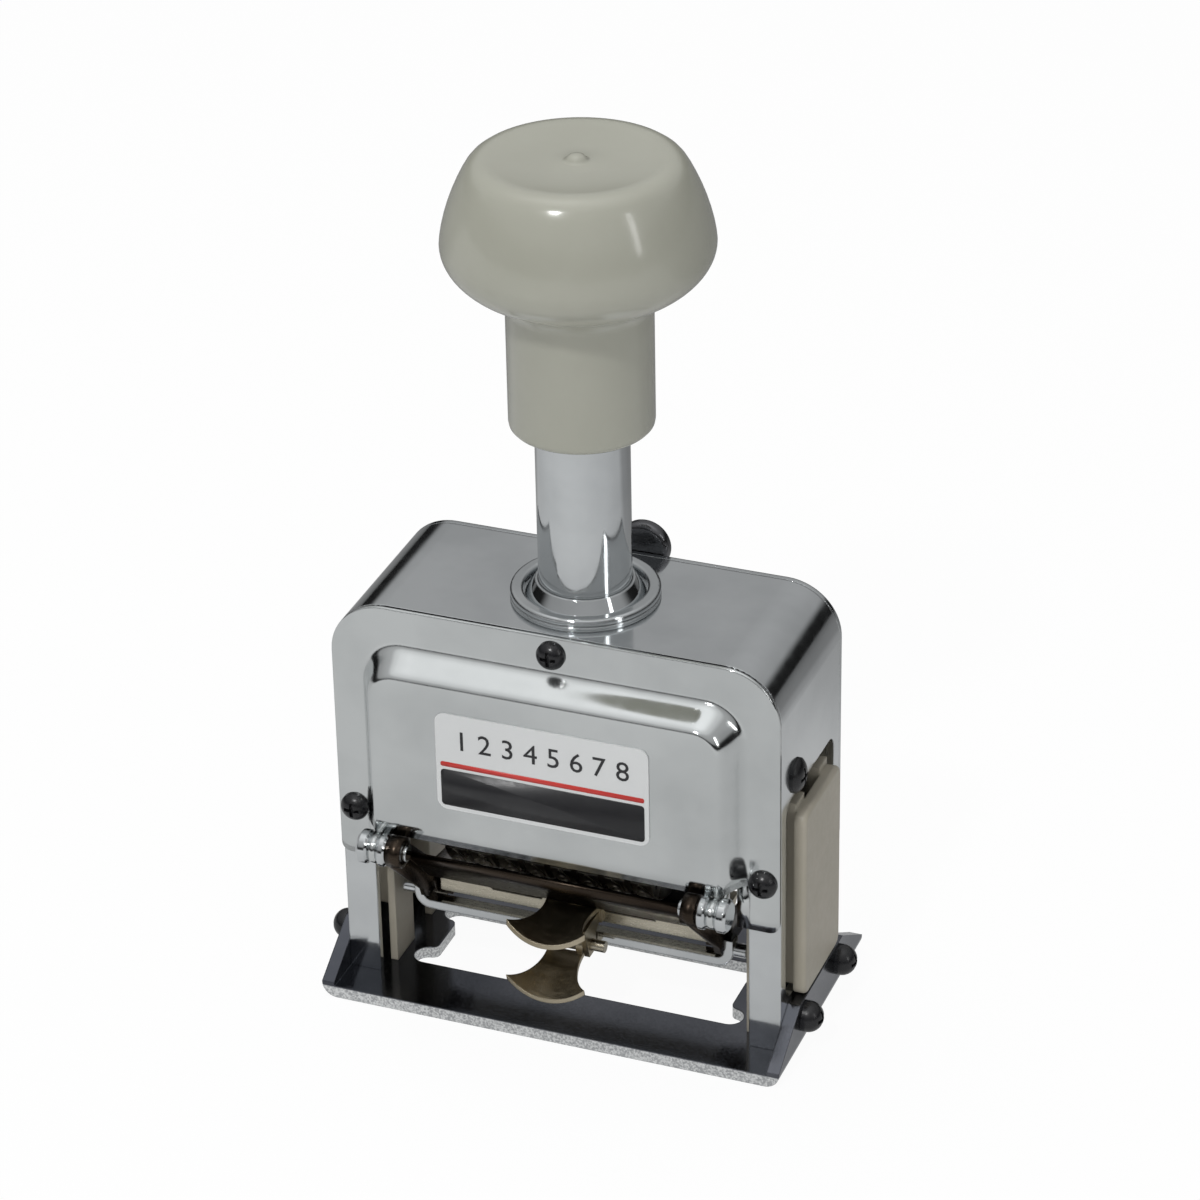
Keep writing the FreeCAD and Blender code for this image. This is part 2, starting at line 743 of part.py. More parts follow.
def pawl_comb(distance, degrees, lean, rod_radius, x0, x1):
    """Eight fingers on one sleeve that turns on its rod."""
    y, z = polar(distance, degrees)
    comb = [rod_x(x0, x1, y, z, rod_radius + 0.8)]
    for index in range(wheel_count):
        comb.append(pawl_finger(index, distance, degrees, lean))
    return fuse(comb).cut(rod_x(x0 - 1, x1 + 1, y, z, rod_radius + running))


def sleeve_span():
    """The X range of the pawl sleeves, inside the feed arms."""
    return wheel_left + 0.2, wheel_start(wheel_count) - 0.1


def retaining_pawls():
    x0, x1 = sleeve_span()
    return pawl_comb(pawl_rod_distance, pawl_rod_angle, 12.0, pawl_rod_radius, x0, x1)


def pawl_rod():
    y, z = polar(pawl_rod_distance, pawl_rod_angle)
    return rod_x(-yoke_half_outer, yoke_half_outer, y, z, pawl_rod_radius)


def pawl_spring():
    y, z = polar(pawl_rod_distance, pawl_rod_angle)
    x0 = sleeve_span()[1] + 0.4
    coil = rod_x(x0, x0 + 3.0, y, z, pawl_rod_radius + 0.75)
    return coil.cut(rod_x(x0 - 1, x0 + 4.0, y, z, pawl_rod_radius + 0.1))


def feed_arm():
    """Two arms on the wheel shaft, joined over the wheels by a bar."""
    y, z = polar(feed_bar_distance, feed_bar_angle)
    left0 = -yoke_half_inner + seat_gap / 2
    left1 = left0 + feed_arm_sheet
    right0 = wheel_start(wheel_count) + 0.1
    right1 = right0 + feed_arm_sheet
    pieces = [rod_x(left0, right1, y, z, feed_bar_radius)]
    for x0, x1 in ((left0, left1), (right0, right1)):
        pieces.append(rod_x(x0, x1, 0, axis_z, feed_hub_radius))
        pieces.append(rod_x(x0, x1, y, z, feed_bar_radius + 0.8))
        outline = [
            polar(feed_hub_radius, feed_bar_angle + 90), polar(feed_hub_radius, feed_bar_angle - 90),
            polar(feed_bar_distance, feed_bar_angle - 7), polar(feed_bar_distance, feed_bar_angle + 7)]
        pieces.append(plate_yz(outline, x0, x1))
    pieces.append(rod_x(right1, right1 + feed_hub_width, 0, axis_z, feed_hub_radius - 0.8))
    arm = fuse(pieces)
    return arm.cut(rod_x(left0 - 1, right1 + feed_hub_width + 1, 0, axis_z, shaft_radius + running))


def feed_pawl():
    x0 = -yoke_half_inner + seat_gap / 2 + feed_arm_sheet + seat_gap
    x1 = wheel_start(wheel_count)
    return pawl_comb(feed_bar_distance, feed_bar_angle, 10.0, feed_bar_radius, x0, x1)


def shaft_spacer():
    x0 = wheel_start(wheel_count) + 0.1 + feed_arm_sheet + feed_hub_width + seat_gap
    spacer = rod_x(x0, yoke_half_inner - seat_gap, 0, axis_z, shaft_radius + 1.1)
    return spacer.cut(rod_x(x0 - 1, yoke_half_inner + 1, 0, axis_z, shaft_radius + running))


def side_guide():
    """The plastic guide of one side: two rails, webs through the frame and an outer plate."""
    slot_half = shoe_half_width + slide_gap
    rail_outer = guide_rail_inner + guide_rail_sheet
    plate_inner = frame_half_width + slide_gap
    pieces = []
    for side in (-1, 1):
        y0, y1 = sorted((side * slot_half, side * guide_rail_half))
        pieces.append(box(guide_rail_inner, rail_outer, y0, y1, base_sheet, guide_rail_high))
        y0, y1 = sorted((side * slot_half, side * guide_web_half))
        pieces.append(box(rail_outer, plate_inner, y0, y1, guide_web_low, guide_web_high))
    plate = box(plate_inner, plate_inner + guide_plate_sheet, -guide_plate_half, guide_plate_half,
                guide_plate_low, guide_plate_high)
    plate = fillet_where(plate, 1.8, lambda e: runs_along(e, X_AXIS))
    plate = fillet_where(plate, 0.7, lambda e: near(e.BoundBox.XMin, plate_inner + guide_plate_sheet))
    pieces.append(plate)
    return fuse(pieces)


def cover_screws():
    screw = dome_screw(cover_screw_head, cover_screw_height, cover_screw_radius, screw_reach)
    front = [aim(screw, vec(0, -1, 0), vec(x, -cover_y, z)) for x, z in front_screw_places()]
    rear = [aim(screw, vec(0, 1, 0), vec(x, cover_y, z)) for x, z in rear_screw_places()]
    return front + rear


def base_screws():
    screws = []
    screw = dome_screw(base_screw_head, base_screw_height, base_screw_radius, screw_reach + 1.0)
    for side in (-1, 1):
        for y in (-base_screw_y, base_screw_y):
            screws.append(aim(screw, vec(side, 0, 0), vec(side * ring_outer_x, y, base_screw_z)))
    return screws


def side_screws():
    screw = dome_screw(side_screw_head, side_screw_height, cover_screw_radius, screw_reach)
    return [aim(screw, vec(side, 0, 0), vec(side * frame_half_width, side_screw_y, side_screw_z))
            for side in (-1, 1)]


def hinge_pin():
    """One hinge pin of the pad frame, with its outer head and inner disc."""
    inner0 = arm_inner + arm_sheet + slide_gap
    inner1 = inner0 + hinge_inner_disc
    head0 = inner1 + seat_gap * 2 + hinge_ear
    head1 = head0 + hinge_outer_disc
    discs = [rod_x(inner0, inner1, hinge_y, hinge_z, hinge_disc_radius),
             rod_x(head0, head1, hinge_y, hinge_z, hinge_disc_radius)]
    discs = [chamfer_where(disc, 0.4, lambda e: e.Length > 6) for disc in discs]
    pin = rod_x(arm_inner - 1.6, head1, hinge_y, hinge_z, hinge_pin_radius)
    return fuse([pin] + discs)


def pad_frame():
    """Two side arms, the ledges that carry the tray, and the stepped front bar."""
    arm_outer = arm_inner + arm_sheet
    bail_back = bail_y + bail_half_depth + seat_gap
    bail_clear = bail_low + bail_corner + seat_gap
    outline = [
        (hinge_y - 1.6, hinge_z + 1.5), (hinge_y + 2.2, hinge_z + 0.9), (bar_edge_y + 2.0, bar_edge_z),
        (tray_front + 8.0, tray_high), (tray_front + 8.0, tray_low - 0.9), (bail_back, tray_low - 0.9),
        (bail_back, bail_clear), (bail_y - 2.0, bail_clear),
        (bail_y - 2.6, bail_low + 4.2), (hinge_y - 1.8, hinge_z - 1.6)]
    arm = plate_yz(outline, arm_inner, arm_outer)
    arm = arm.fuse(rod_x(arm_inner, arm_outer, hinge_y, hinge_z, hinge_disc_radius - 0.2))
    ledge = box(arm_inner - 2.6, arm_inner, tray_front + 0.6, tray_front + 7.4,
                tray_low - 0.9, tray_low - seat_gap)
    side = fuse([arm, ledge])
    run_y = bar_edge_y - hinge_y
    run_z = bar_edge_z - hinge_z
    length = math.hypot(run_y, run_z)
    along = (run_y / length, run_z / length)
    across = (-along[1], along[0])

    def bar_point(distance, height):
        return (hinge_y + along[0] * distance + across[0] * height,
                hinge_z + along[1] * distance + across[1] * height)

    def bar_sheet_shape(x0, x1, reach):
        top = bar_hem_radius
        points = [bar_point(0, top - bar_sheet), bar_point(0, top), bar_point(reach, bar_sheet),
                  bar_point(reach, 0)]
        return plate_yz(points, x0, x1)

    bar = fuse([
        rod_x(-arm_inner, arm_inner, hinge_y, hinge_z, bar_hem_radius),
        bar_sheet_shape(-arm_inner, arm_inner, length - bar_side_step),
        bar_sheet_shape(-bar_tab_half, bar_tab_half, length)])
    frame = fuse([bar] + both_sides(side))
    for side_x in (-1, 1):
        x0, x1 = sorted((side_x * (arm_inner - 2.0), side_x * (arm_outer + 1)))
        frame = frame.cut(rod_x(x0, x1, hinge_y, hinge_z, hinge_pin_radius + running))
    return frame


def pad_bail():
    """The chrome strip, bent to a U, that ties the two arms under the tray."""
    half = arm_inner + arm_sheet + bail_wire
    front = bail_y - bail_half_depth
    back = bail_y + bail_half_depth
    outer = box(-half, half, front, back, bail_low, bail_high)
    outer = fillet_where(outer, bail_corner, lambda e: runs_along(e, Y_AXIS) and near(e.CenterOfMass.z, bail_low))
    inner = box(-half + bail_wire, half - bail_wire, front - 1, back + 1, bail_low + bail_wire, bail_high + 1)
    inner = fillet_where(inner, bail_corner - bail_wire, lambda e: runs_along(e, Y_AXIS)
                         and near(e.CenterOfMass.z, bail_low + bail_wire))
    bail = outer.cut(inner)
    studs = [rod_x(half, half + 2.0, bail_y, bail_high - 2.0, 1.1)]
    return fuse([bail] + both_sides(studs[0]))


def tray_outline(front, back, low, high, chamfer):
    return [(front, low), (back - chamfer, low), (back, low + chamfer), (back, high), (front, high)]


def pad_tray():
    outer = plate_yz(tray_outline(tray_front, tray_back, tray_low, tray_high, tray_back_chamfer),
                     -tray_half, tray_half)
    inner = plate_yz(tray_outline(tray_front + tray_wall, tray_back - tray_wall,
                                  tray_low + tray_wall, tray_high + 1,
                                  tray_back_chamfer - tray_wall * 0.5),
                     -tray_half + tray_wall, tray_half - tray_wall)
    return outer.cut(inner)


def ink_pad():
    margin = tray_wall + pad_margin
    return plate_yz(tray_outline(tray_front + margin, tray_back - margin, tray_low + tray_wall,
                                 pad_high, tray_back_chamfer - tray_wall * 0.4),
                    -tray_half + margin, tray_half - margin)


def saddle_tongue(root_y, root_half, waist_y, waist_half, low_z, degrees):
    """A thin tongue that widens to the front, its two tips turned up."""
    root = [vec(root_half, root_y, 0), vec(-root_half, root_y, 0)]
    tips = [vec(-grip_tip_half, grip_tip_y, 0), vec(grip_tip_half, grip_tip_y, 0)]
    outline = Part.Wire([
        Part.makeLine(root[0], root[1]),
        Part.Arc(root[1], vec(-waist_half, waist_y, 0), tips[0]).toShape(),
        Part.Arc(tips[0], vec(0, grip_front_y, 0), tips[1]).toShape(),
        Part.Arc(tips[1], vec(waist_half, waist_y, 0), root[0]).toShape(),
    ])
    prism = Part.Face(outline).extrude(vec(0, 0, 12))
    centre_z = grip_saddle_radius
    sheet = rod_y(grip_front_y - 1, root_y + 1, 0, centre_z, grip_saddle_radius)
    sheet = sheet.cut(rod_y(grip_front_y - 2, root_y + 2, 0, centre_z, grip_saddle_radius - grip_sheet))
    tongue = sheet.common(prism.common(box(-20, 20, -40, 20, -1, centre_z - 2)))
    tongue.rotate(vec(0, root_y, 0), X_AXIS, degrees)
    tongue.translate(vec(0, 0, low_z))
    return tongue


def upper_grip():
    tongue = saddle_tongue(tray_front - grip_sheet, grip_root_half, -13.0, grip_root_half - 0.5,
                           grip_root_z, -grip_rise_deg)
    back = box(-grip_root_half, grip_root_half, tray_front - grip_sheet, tray_front,
               tray_low + 0.3, tray_high - 0.1)
    ear_top = grip_root_z + 0.5
    bail_front = bail_y - bail_half_depth
    outline = [
        (-13.6, ear_top), (tray_front - grip_sheet, ear_top), (tray_front - grip_sheet, tray_low + 0.3),
        (bail_front - pad_gap, tray_low - 0.5), (bail_front - pad_gap, latch_z - latch_knuckle),
        (latch_y - 1.0, latch_z - latch_knuckle)]
    ear = plate_yz(outline, grip_ear_inner, grip_ear_inner + grip_ear_sheet)
    grip = fuse([tongue, back] + both_sides(ear))
    return grip.cut(rod_x(-latch_pin_half - 1, latch_pin_half + 1, latch_y, latch_z,
                          latch_pin_radius + running))


def latch_pin():
    return rod_x(-latch_pin_half, latch_pin_half, latch_y, latch_z, latch_pin_radius)


def lower_grip():
    half = grip_ear_inner - seat_gap
    tongue = saddle_tongue(latch_y, half - 0.2, latch_y - 3.6, half, latch_z - latch_knuckle - latch_tongue_drop,
                           latch_drop_deg)
    knuckles = []
    for side in (-1, 1):
        x0, x1 = sorted((side * (half - 1.1), side * half))
        knuckles.append(rod_x(x0, x1, latch_y, latch_z, latch_knuckle))
    grip = fuse([tongue] + knuckles)
    return grip.cut(rod_x(-latch_pin_half, latch_pin_half, latch_y, latch_z, latch_pin_radius + running))


def latch_spring():
    half = grip_ear_inner - seat_gap - 1.3
    coil = rod_x(-half, half, latch_y, latch_z, latch_coil_radius)
    return coil.cut(rod_x(-half - 1, half + 1, latch_y, latch_z, latch_pin_radius + 0.15))


def repeat_lever():
    y0 = cover_y + slide_gap
    y1 = y0 + lever_sheet
    arm = box(-lever_half_width, lever_half_width, y0, y1, lever_pivot_z, lever_tab_z)
    hub = rod_y(y0, y1, 0, lever_pivot_z, lever_half_width + 1.2)
    tab = rod_y(y0, y0 + lever_tab_thickness, 0, lever_tab_z, lever_tab_radius)
    tab = fillet_where(tab, 0.9, lambda e: e.Length > 8)
    lever = fuse([arm, hub, tab]).cut(rod_y(y0 - 1, y1 + 2, 0, lever_pivot_z, lever_pivot_radius + running))
    lever.rotate(vec(0, 0, lever_pivot_z), Y_AXIS, lever_lean_deg)
    return lever


def lever_pivot():
    """The shouldered screw on which the selector lever turns."""
    seat = cover_y + slide_gap + lever_sheet + running
    screw = dome_screw(lever_half_width + 0.2, 1.2, lever_pivot_radius, seat - frame_half_depth)
    return aim(screw, vec(0, 1, 0), vec(0, seat, lever_pivot_z))


def build():
    save("base_plate", base_plate())
    save("frame_shell", frame_shell())
    save("front_cover", front_cover())
    save("rear_cover", rear_cover())
    save("label_plate", label_plate())
    save("collar_ring", collar_ring())
    save("guide_bush", guide_bush())
    save("spring_bridge", spring_bridge())
    save("spring_seat_pin", spring_seat_pin())
    save("spring_seat", spring_seat())
    save("side_guide_right", side_guide())
    save("side_guide_left", mirrored(side_guide()))
    save("cover_screws", cover_screws())
    save("base_screws", base_screws())
    save("side_screws", side_screws())
    save("pad_hinge_pins", both_sides(hinge_pin()))
    save("knob", knob())
    save("stem_tube", stem_tube())
    save("spring_plug", spring_plug())
    save("main_spring", main_spring())
    save("carriage_yoke", carriage_yoke())
    save("guide_shoe_right", guide_shoe())
    save("guide_shoe_left", mirrored(guide_shoe()))
    save("wheel_shaft", wheel_shaft())
    save("tie_rods", tie_rods())
    save("shaft_spacer", shaft_spacer())
    for index in range(wheel_count):
        save("number_wheel_%d" % (index + 1), number_wheel(index))
    save("pawl_rod", pawl_rod())
    save("retaining_pawls", retaining_pawls())
    save("pawl_spring", pawl_spring())
    save("feed_arm", feed_arm())
    save("feed_pawl", feed_pawl())
    save("pad_frame", pad_frame())
    save("pad_bail", pad_bail())
    save("pad_tray", pad_tray())
    save("ink_pad", ink_pad())
    save("upper_grip", upper_grip())
    save("lower_grip", lower_grip())
    save("latch_pin", latch_pin())
    save("latch_spring", latch_spring())
    save("repeat_lever", repeat_lever())
    save("lever_pivot", lever_pivot())


build()
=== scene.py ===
import bpy
import bmesh
import json
import math
from mathutils import Matrix, Vector


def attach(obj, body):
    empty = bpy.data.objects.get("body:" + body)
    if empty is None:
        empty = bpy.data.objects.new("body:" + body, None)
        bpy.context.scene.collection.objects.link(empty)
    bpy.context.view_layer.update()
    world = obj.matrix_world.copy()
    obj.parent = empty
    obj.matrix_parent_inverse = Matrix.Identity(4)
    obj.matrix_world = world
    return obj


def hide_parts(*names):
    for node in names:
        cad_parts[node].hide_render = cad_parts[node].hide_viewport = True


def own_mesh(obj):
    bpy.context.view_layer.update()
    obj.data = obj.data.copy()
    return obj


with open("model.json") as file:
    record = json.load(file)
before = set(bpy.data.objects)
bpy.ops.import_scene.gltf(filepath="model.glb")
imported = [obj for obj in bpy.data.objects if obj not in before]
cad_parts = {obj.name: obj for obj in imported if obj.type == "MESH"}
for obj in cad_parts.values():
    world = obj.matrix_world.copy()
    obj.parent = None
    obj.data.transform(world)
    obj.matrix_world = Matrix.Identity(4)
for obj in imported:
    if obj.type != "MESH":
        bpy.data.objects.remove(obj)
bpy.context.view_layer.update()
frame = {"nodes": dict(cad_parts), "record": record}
nodes = frame["nodes"]

# Lengths are in metres. The stem's axis stands a little behind the origin.
MM = 0.001
STEM_Y = 1.2 * MM

# Camera, solved from the photograph
CAMERA_AZIMUTH = 21.71
CAMERA_ELEVATION = 29.55
CAMERA_ROLL = -1.24
CAMERA_DISTANCE = 656.25 * MM
CAMERA_TARGET = (0.0, STEM_Y, 65.6 * MM)
CAMERA_LENS = 133.7
CAMERA_SENSOR = 36.0
CAMERA_NEAR = 10 * MM
CAMERA_SHIFT = (0.0117, 0.0016)

# Number wheels
WHEEL_COUNT = 8
WHEEL_PITCH = 4.28 * MM
WHEEL_LEFT = -20.0 * MM
WHEEL_AXIS_Z = 28.5 * MM
WHEEL_RADIUS = 10.5 * MM
TYPE_WIDTH = 3.3 * MM
FIGURE_HEIGHT = 4.6 * MM
FIGURE_RAISE = 0.2 * MM
FIGURE_SLICES = 16
FIGURE_FONT = 6.0 * MM
FIGURE_SHARE = 0.72
FIGURE_NARROWEST = 0.55
FIGURE_STEP = 36

# Label, on the face of the raised panel
LABEL_FACE_Y = STEM_Y - 19.05 * MM
LABEL_HALF = 16.7 * MM
LABEL_LOW = 37.8 * MM
LABEL_HIGH = 54.2 * MM
LABEL_EDGE = 0.7 * MM
BAND_SHARE = 0.42
RULE_START = 0.5 * MM
RULE_END = 1.3 * MM
PRINT_THICKNESS = 0.04 * MM
PRINT_CORNER = 0.6 * MM
PRINT_FONT = 4.6 * MM
PRINT_MARGIN = 4.2 * MM
PRINT_PITCH = 3.6 * MM
PRINT_RISE = 0.5 * MM

# Return spring
SPRING_LOW = 51.4 * MM
SPRING_HIGH = 104.0 * MM
SPRING_RADIUS = 4.5 * MM
SPRING_WIRE = 0.52 * MM
SPRING_TURNS = 17

# Ink pad: its depth and height outline, as (y, z)
PAD_OUTLINE = [(-5.7, 15.2), (0.8, 15.2), (3.0, 17.4), (3.1, 17.7), (-5.7, 17.7)]
PAD_HALF = 21.4 * MM
PAD_STEPS = 60
PAD_BEVEL = 0.25 * MM
PAD_TOP = 17.4 * MM
PAD_WAVE = 0.03 * MM

# Front cover: a sheet with a raised panel that rolls up from the flat
COVER_HALF = 35.0
COVER_LOW = 23.5
COVER_TOP = 67.2
COVER_CORNER = 8.5
COVER_LOW_CORNER = 1.5
COVER_SHEET = 0.9
COVER_FACE = 14.2
COVER_FOOT_INNER = 28.5
COVER_INSETS = (0.0, 0.08, 0.25, 0.5, 0.9, 1.5, 3.0, 4.4)
PANEL_HALF = 29.6
PANEL_LOW = 31.2
PANEL_TOP = 60.8
PANEL_CORNER = 6.2
PANEL_PROUD = 4.6
ROLL_START = -0.8
ROLL_END = 2.7
ROLL_RINGS = 22
ROLL_CORNER_SHARE = 0.9

# Selector lever's pivot and stops, in degrees from upright
SELECTOR_Z = 46.0 * MM
SELECTOR_STOPS = [-24, -8, 9, 27]
SELECTOR_REACH = 16.0 * MM
SELECTOR_FONT = 3.4 * MM
SELECTOR_RAISE = 0.3 * MM
SELECTOR_LIFT = 0.05

# Pad frame: hinged at its upper front edge, with a stepped bar before the tray
HINGE = (-19.6, 28.8)
HINGE_ROLL = 2.4
EAR_ROUND = 2.3
EAR_INNER = 26.2
EAR_OUTER = 27.4
EAR_PROUD = 1.4
EAR_RISE = 4
EAR_DROP = 1.2
EAR_ARC = (75.0, 290.0)
PIN_RADIUS = 1.32
PIN_BOSS = 0.9
PIN_OVERLAP = 0.02
ARM_INNER = 23.2
ARM_OUTER = 24.4
ARM_OUTLINE = [(-21.2, 30.3), (-17.4, 29.7), (-5.4, 18.3), (1.4, 17.1), (1.4, 13.4), (-6.1, 13.4),
               (-6.1, 14.6), (-9.4, 14.6), (-10.0, 16.1), (-21.4, 27.2)]
LEDGE_OUTLINE = [(-6.0, 13.4), (0.8, 13.4), (0.8, 14.2), (-6.0, 14.2)]
LEDGE_REACH = 2.6
ARM_OVERLAP = 0.2
BAR_TOP = (-16.9, 26.5)
BAR_EDGE = (-7.6, 16.8)
BAR_SHEET = 0.8
BAR_STEP = 1.5
BAR_TAB_HALF = 13.2
BAR_NOTCH_HALF = 5.2
BAR_BEVEL = 0.12

# Knob outline, as (radius, z): stem bore, sleeve, bulge, rounded rim, dish and centre nub
KNOB_SLEEVE = [(7.0, 95.3), (9.75, 95.3), (10.25, 95.42), (10.55, 95.75), (10.65, 96.3), (10.65, 113.9),
               (10.8, 114.75), (11.25, 115.25)]
KNOB_UNDER = (19.65, 124.2, 9.8, 63.0)
KNOB_CROWN = [(19.55, 125.2), (19.3, 126.6), (18.9, 128.2), (18.4, 129.8), (17.8, 131.4), (17.1, 133.0),
              (16.4, 134.4), (15.75, 135.5), (15.2, 136.15), (14.5, 136.65), (13.7, 136.9), (12.9, 136.95),
              (12.0, 136.85), (9.0, 136.6), (5.0, 136.42), (2.1, 136.4), (1.7, 136.48), (1.45, 136.75),
              (1.15, 137.1), (0.75, 137.3), (0.35, 137.37), (0.0, 137.38)]

KNOB_SIDES = 160
KNOB_UNDER_STEPS = 20

# Edges that meet at more than this angle, in radians, count as hard
HARD_EDGE = 0.6

# Textures: how fine the clouds and grain are, and how deep the relief
METAL_CLOUD = 60
METAL_RELIEF = 0.02 * MM
MOULD_CLOUD = 90
MOULD_GRAIN = 900
MOULD_RELIEF = 0.03 * MM

# Base plate: below this band of heights its cut edge carries a painted highlight, and above it its flat
# top carries a painted dark reflection
BASE_CLOUD = 45
BASE_GRAIN = 3200
BASE_PAINTED_LIGHT_SPLIT = (1.80 * MM, 1.95 * MM)

# The sky from the horizon up: as matt surfaces see it, and as bright metal does
SKY_FILL = [(0.0, 0.30), (0.5, 0.42), (1.0, 0.60)]
SKY_MIRROR = [(0.0, 0.01), (0.20, 0.015), (0.36, 0.37), (0.72, 0.48), (0.88, 0.78), (1.0, 1.2)]

# The floor: its half size, and what bright metal sees of it from front to back over its middle span
FLOOR_REACH = 6.0
FLOOR_SPAN = 0.25
FLOOR_MIRROR = [(0.0, 0.62), (0.35, 0.52), (0.64, 0.42), (0.74, 0.16), (0.85, 0.05)]
FLOOR_GLOSSY_SHARE = 0.75
FLOOR_CAMERA_SHARE = 0.95

# Lamps: name, place, size, power in watts, and whether bright metal mirrors them
LAMP_AIM = (0, 0, 60 * MM)
LAMPS = [
    ("key_softbox", (-0.05, -0.60, 0.75), (0.07, 0.07), 2.6, True),
    ("top_softbox", (-0.20, 0.10, 0.95), (0.40, 0.40), 3.2, False),
    ("front_fill", (0.10, -0.65, 0.12), (0.30, 0.12), 0.5, False),
    ("right_strip", (0.85, -0.25, 0.45), (0.08, 0.40), 0.5, True),
]


class Tree:
    """A short way to write a material's nodes."""

    def __init__(self, name):
        self.material = bpy.data.materials.new(name)
        self.material.use_nodes = True
        self.nodes = self.material.node_tree.nodes
        self.links = self.material.node_tree.links
        self.shader = self.nodes["Principled BSDF"]
        self.place = self.nodes.new("ShaderNodeTexCoord").outputs["Object"]

    def link(self, source, target):
        self.links.new(source, target)

    def set(self, **sockets):
        for name, value in sockets.items():
            self.shader.inputs[name.replace("_", " ")].default_value = value

    def noise(self, scale, detail=3.0, stretch=(1, 1, 1)):
        mapping = self.nodes.new("ShaderNodeMapping")
        mapping.inputs["Scale"].default_value = stretch
        self.link(self.place, mapping.inputs["Vector"])
        noise = self.nodes.new("ShaderNodeTexNoise")
        noise.inputs["Scale"].default_value = scale
        noise.inputs["Detail"].default_value = detail
        self.link(mapping.outputs["Vector"], noise.inputs["Vector"])
        return noise.outputs["Fac"]

    def spread(self, source, low, high, start=0.3, end=0.7):
        """Map a 0 to 1 pattern onto the range low to high."""
        span = self.nodes.new("ShaderNodeMapRange")
        span.inputs["From Min"].default_value = start
        span.inputs["From Max"].default_value = end
        span.inputs["To Min"].default_value = low
        span.inputs["To Max"].default_value = high
        self.link(source, span.inputs["Value"])
        return span.outputs["Result"]

    def blend(self, source, first, second, start=0.35, end=0.65):
        """Two colours, mixed by a pattern."""
        mix = self.nodes.new("ShaderNodeMix")
        mix.data_type = "RGBA"
        mix.inputs["A"].default_value = (*first, 1)
        mix.inputs["B"].default_value = (*second, 1)
        self.link(self.spread(source, 0, 1, start, end), mix.inputs["Factor"])
        return mix.outputs["Result"]

    def relief(self, height, strength, distance, rounding=0.0):
        """A bump, over edges softened by the rounding length."""
        bump = self.nodes.new("ShaderNodeBump")
        bump.inputs["Strength"].default_value = strength
        bump.inputs["Distance"].default_value = distance
        self.link(height, bump.inputs["Height"])
        if rounding:
            soft = self.nodes.new("ShaderNodeBevel")
            soft.samples = 4
            soft.inputs["Radius"].default_value = rounding
            self.link(soft.outputs["Normal"], bump.inputs["Normal"])
        self.link(bump.outputs["Normal"], self.shader.inputs["Normal"])


def metal(name, dark, light, rough_low, rough_high, rounding, grain=400, stretch=(1, 1, 1), bump=0.05):
    """A plated or bare metal: clouded colour, grained roughness and a faint relief."""
    tree = Tree(name)
    tree.set(Metallic=1.0)
    cloud = tree.noise(METAL_CLOUD, 4)
    fine = tree.noise(grain, 2, stretch)
    tree.link(tree.blend(cloud, dark, light), tree.shader.inputs["Base Color"])
    tree.link(tree.spread(fine, rough_low, rough_high), tree.shader.inputs["Roughness"])
    tree.relief(fine, bump, METAL_RELIEF, rounding)
    return tree.material


def moulding(name, dark, light, rough_low, rough_high, rounding, coat=0.0):
    """Plastic, paint, felt or print, with an optional clear coat."""
    tree = Tree(name)
    tree.set(Coat_Weight=coat, Coat_Roughness=0.08)
    cloud = tree.noise(MOULD_CLOUD, 5)
    fine = tree.noise(MOULD_GRAIN, 2)
    tree.link(tree.blend(cloud, dark, light), tree.shader.inputs["Base Color"])
    tree.link(tree.spread(fine, rough_low, rough_high), tree.shader.inputs["Roughness"])
    tree.relief(fine, 0.06, MOULD_RELIEF, rounding)
    return tree.material


CHROME = metal("polished_chrome", (0.56, 0.58, 0.59), (0.70, 0.72, 0.73), 0.05, 0.12, 0.35 * MM)
SATIN_CHROME = metal("drawn_chrome", (0.60, 0.62, 0.62), (0.70, 0.72, 0.72), 0.08, 0.15, 0.35 * MM)


def base_chrome():
    """A painted dark reflection on the flat top, with a painted highlight on the grainy cut edges below
    it.
    """
    tree = Tree("base_chrome")
    tree.set(Metallic=1.0)
    split = tree.nodes.new("ShaderNodeSeparateXYZ")
    tree.link(tree.place, split.inputs["Vector"])
    fine = tree.noise(BASE_GRAIN, 2)
    # Painted dark reflection for the flat top, then a painted highlight for the cut edges
    dark = tree.blend(tree.noise(BASE_CLOUD, 4), (0.075, 0.08, 0.095), (0.15, 0.155, 0.175))
    painted_edge_highlight = tree.blend(fine, (0.55, 0.56, 0.57), (0.97, 0.98, 0.98), 0.40, 0.60)
    mix = tree.nodes.new("ShaderNodeMix")
    mix.data_type = "RGBA"
    tree.link(tree.spread(split.outputs["Z"], 0, 1, *BASE_PAINTED_LIGHT_SPLIT), mix.inputs["Factor"])
    tree.link(painted_edge_highlight, mix.inputs["A"])
    tree.link(dark, mix.inputs["B"])
    tree.link(mix.outputs["Result"], tree.shader.inputs["Base Color"])
    tree.link(tree.spread(fine, 0.08, 0.22), tree.shader.inputs["Roughness"])
    tree.relief(fine, 0.10, MOULD_RELIEF, 0.3 * MM)
    return tree.material


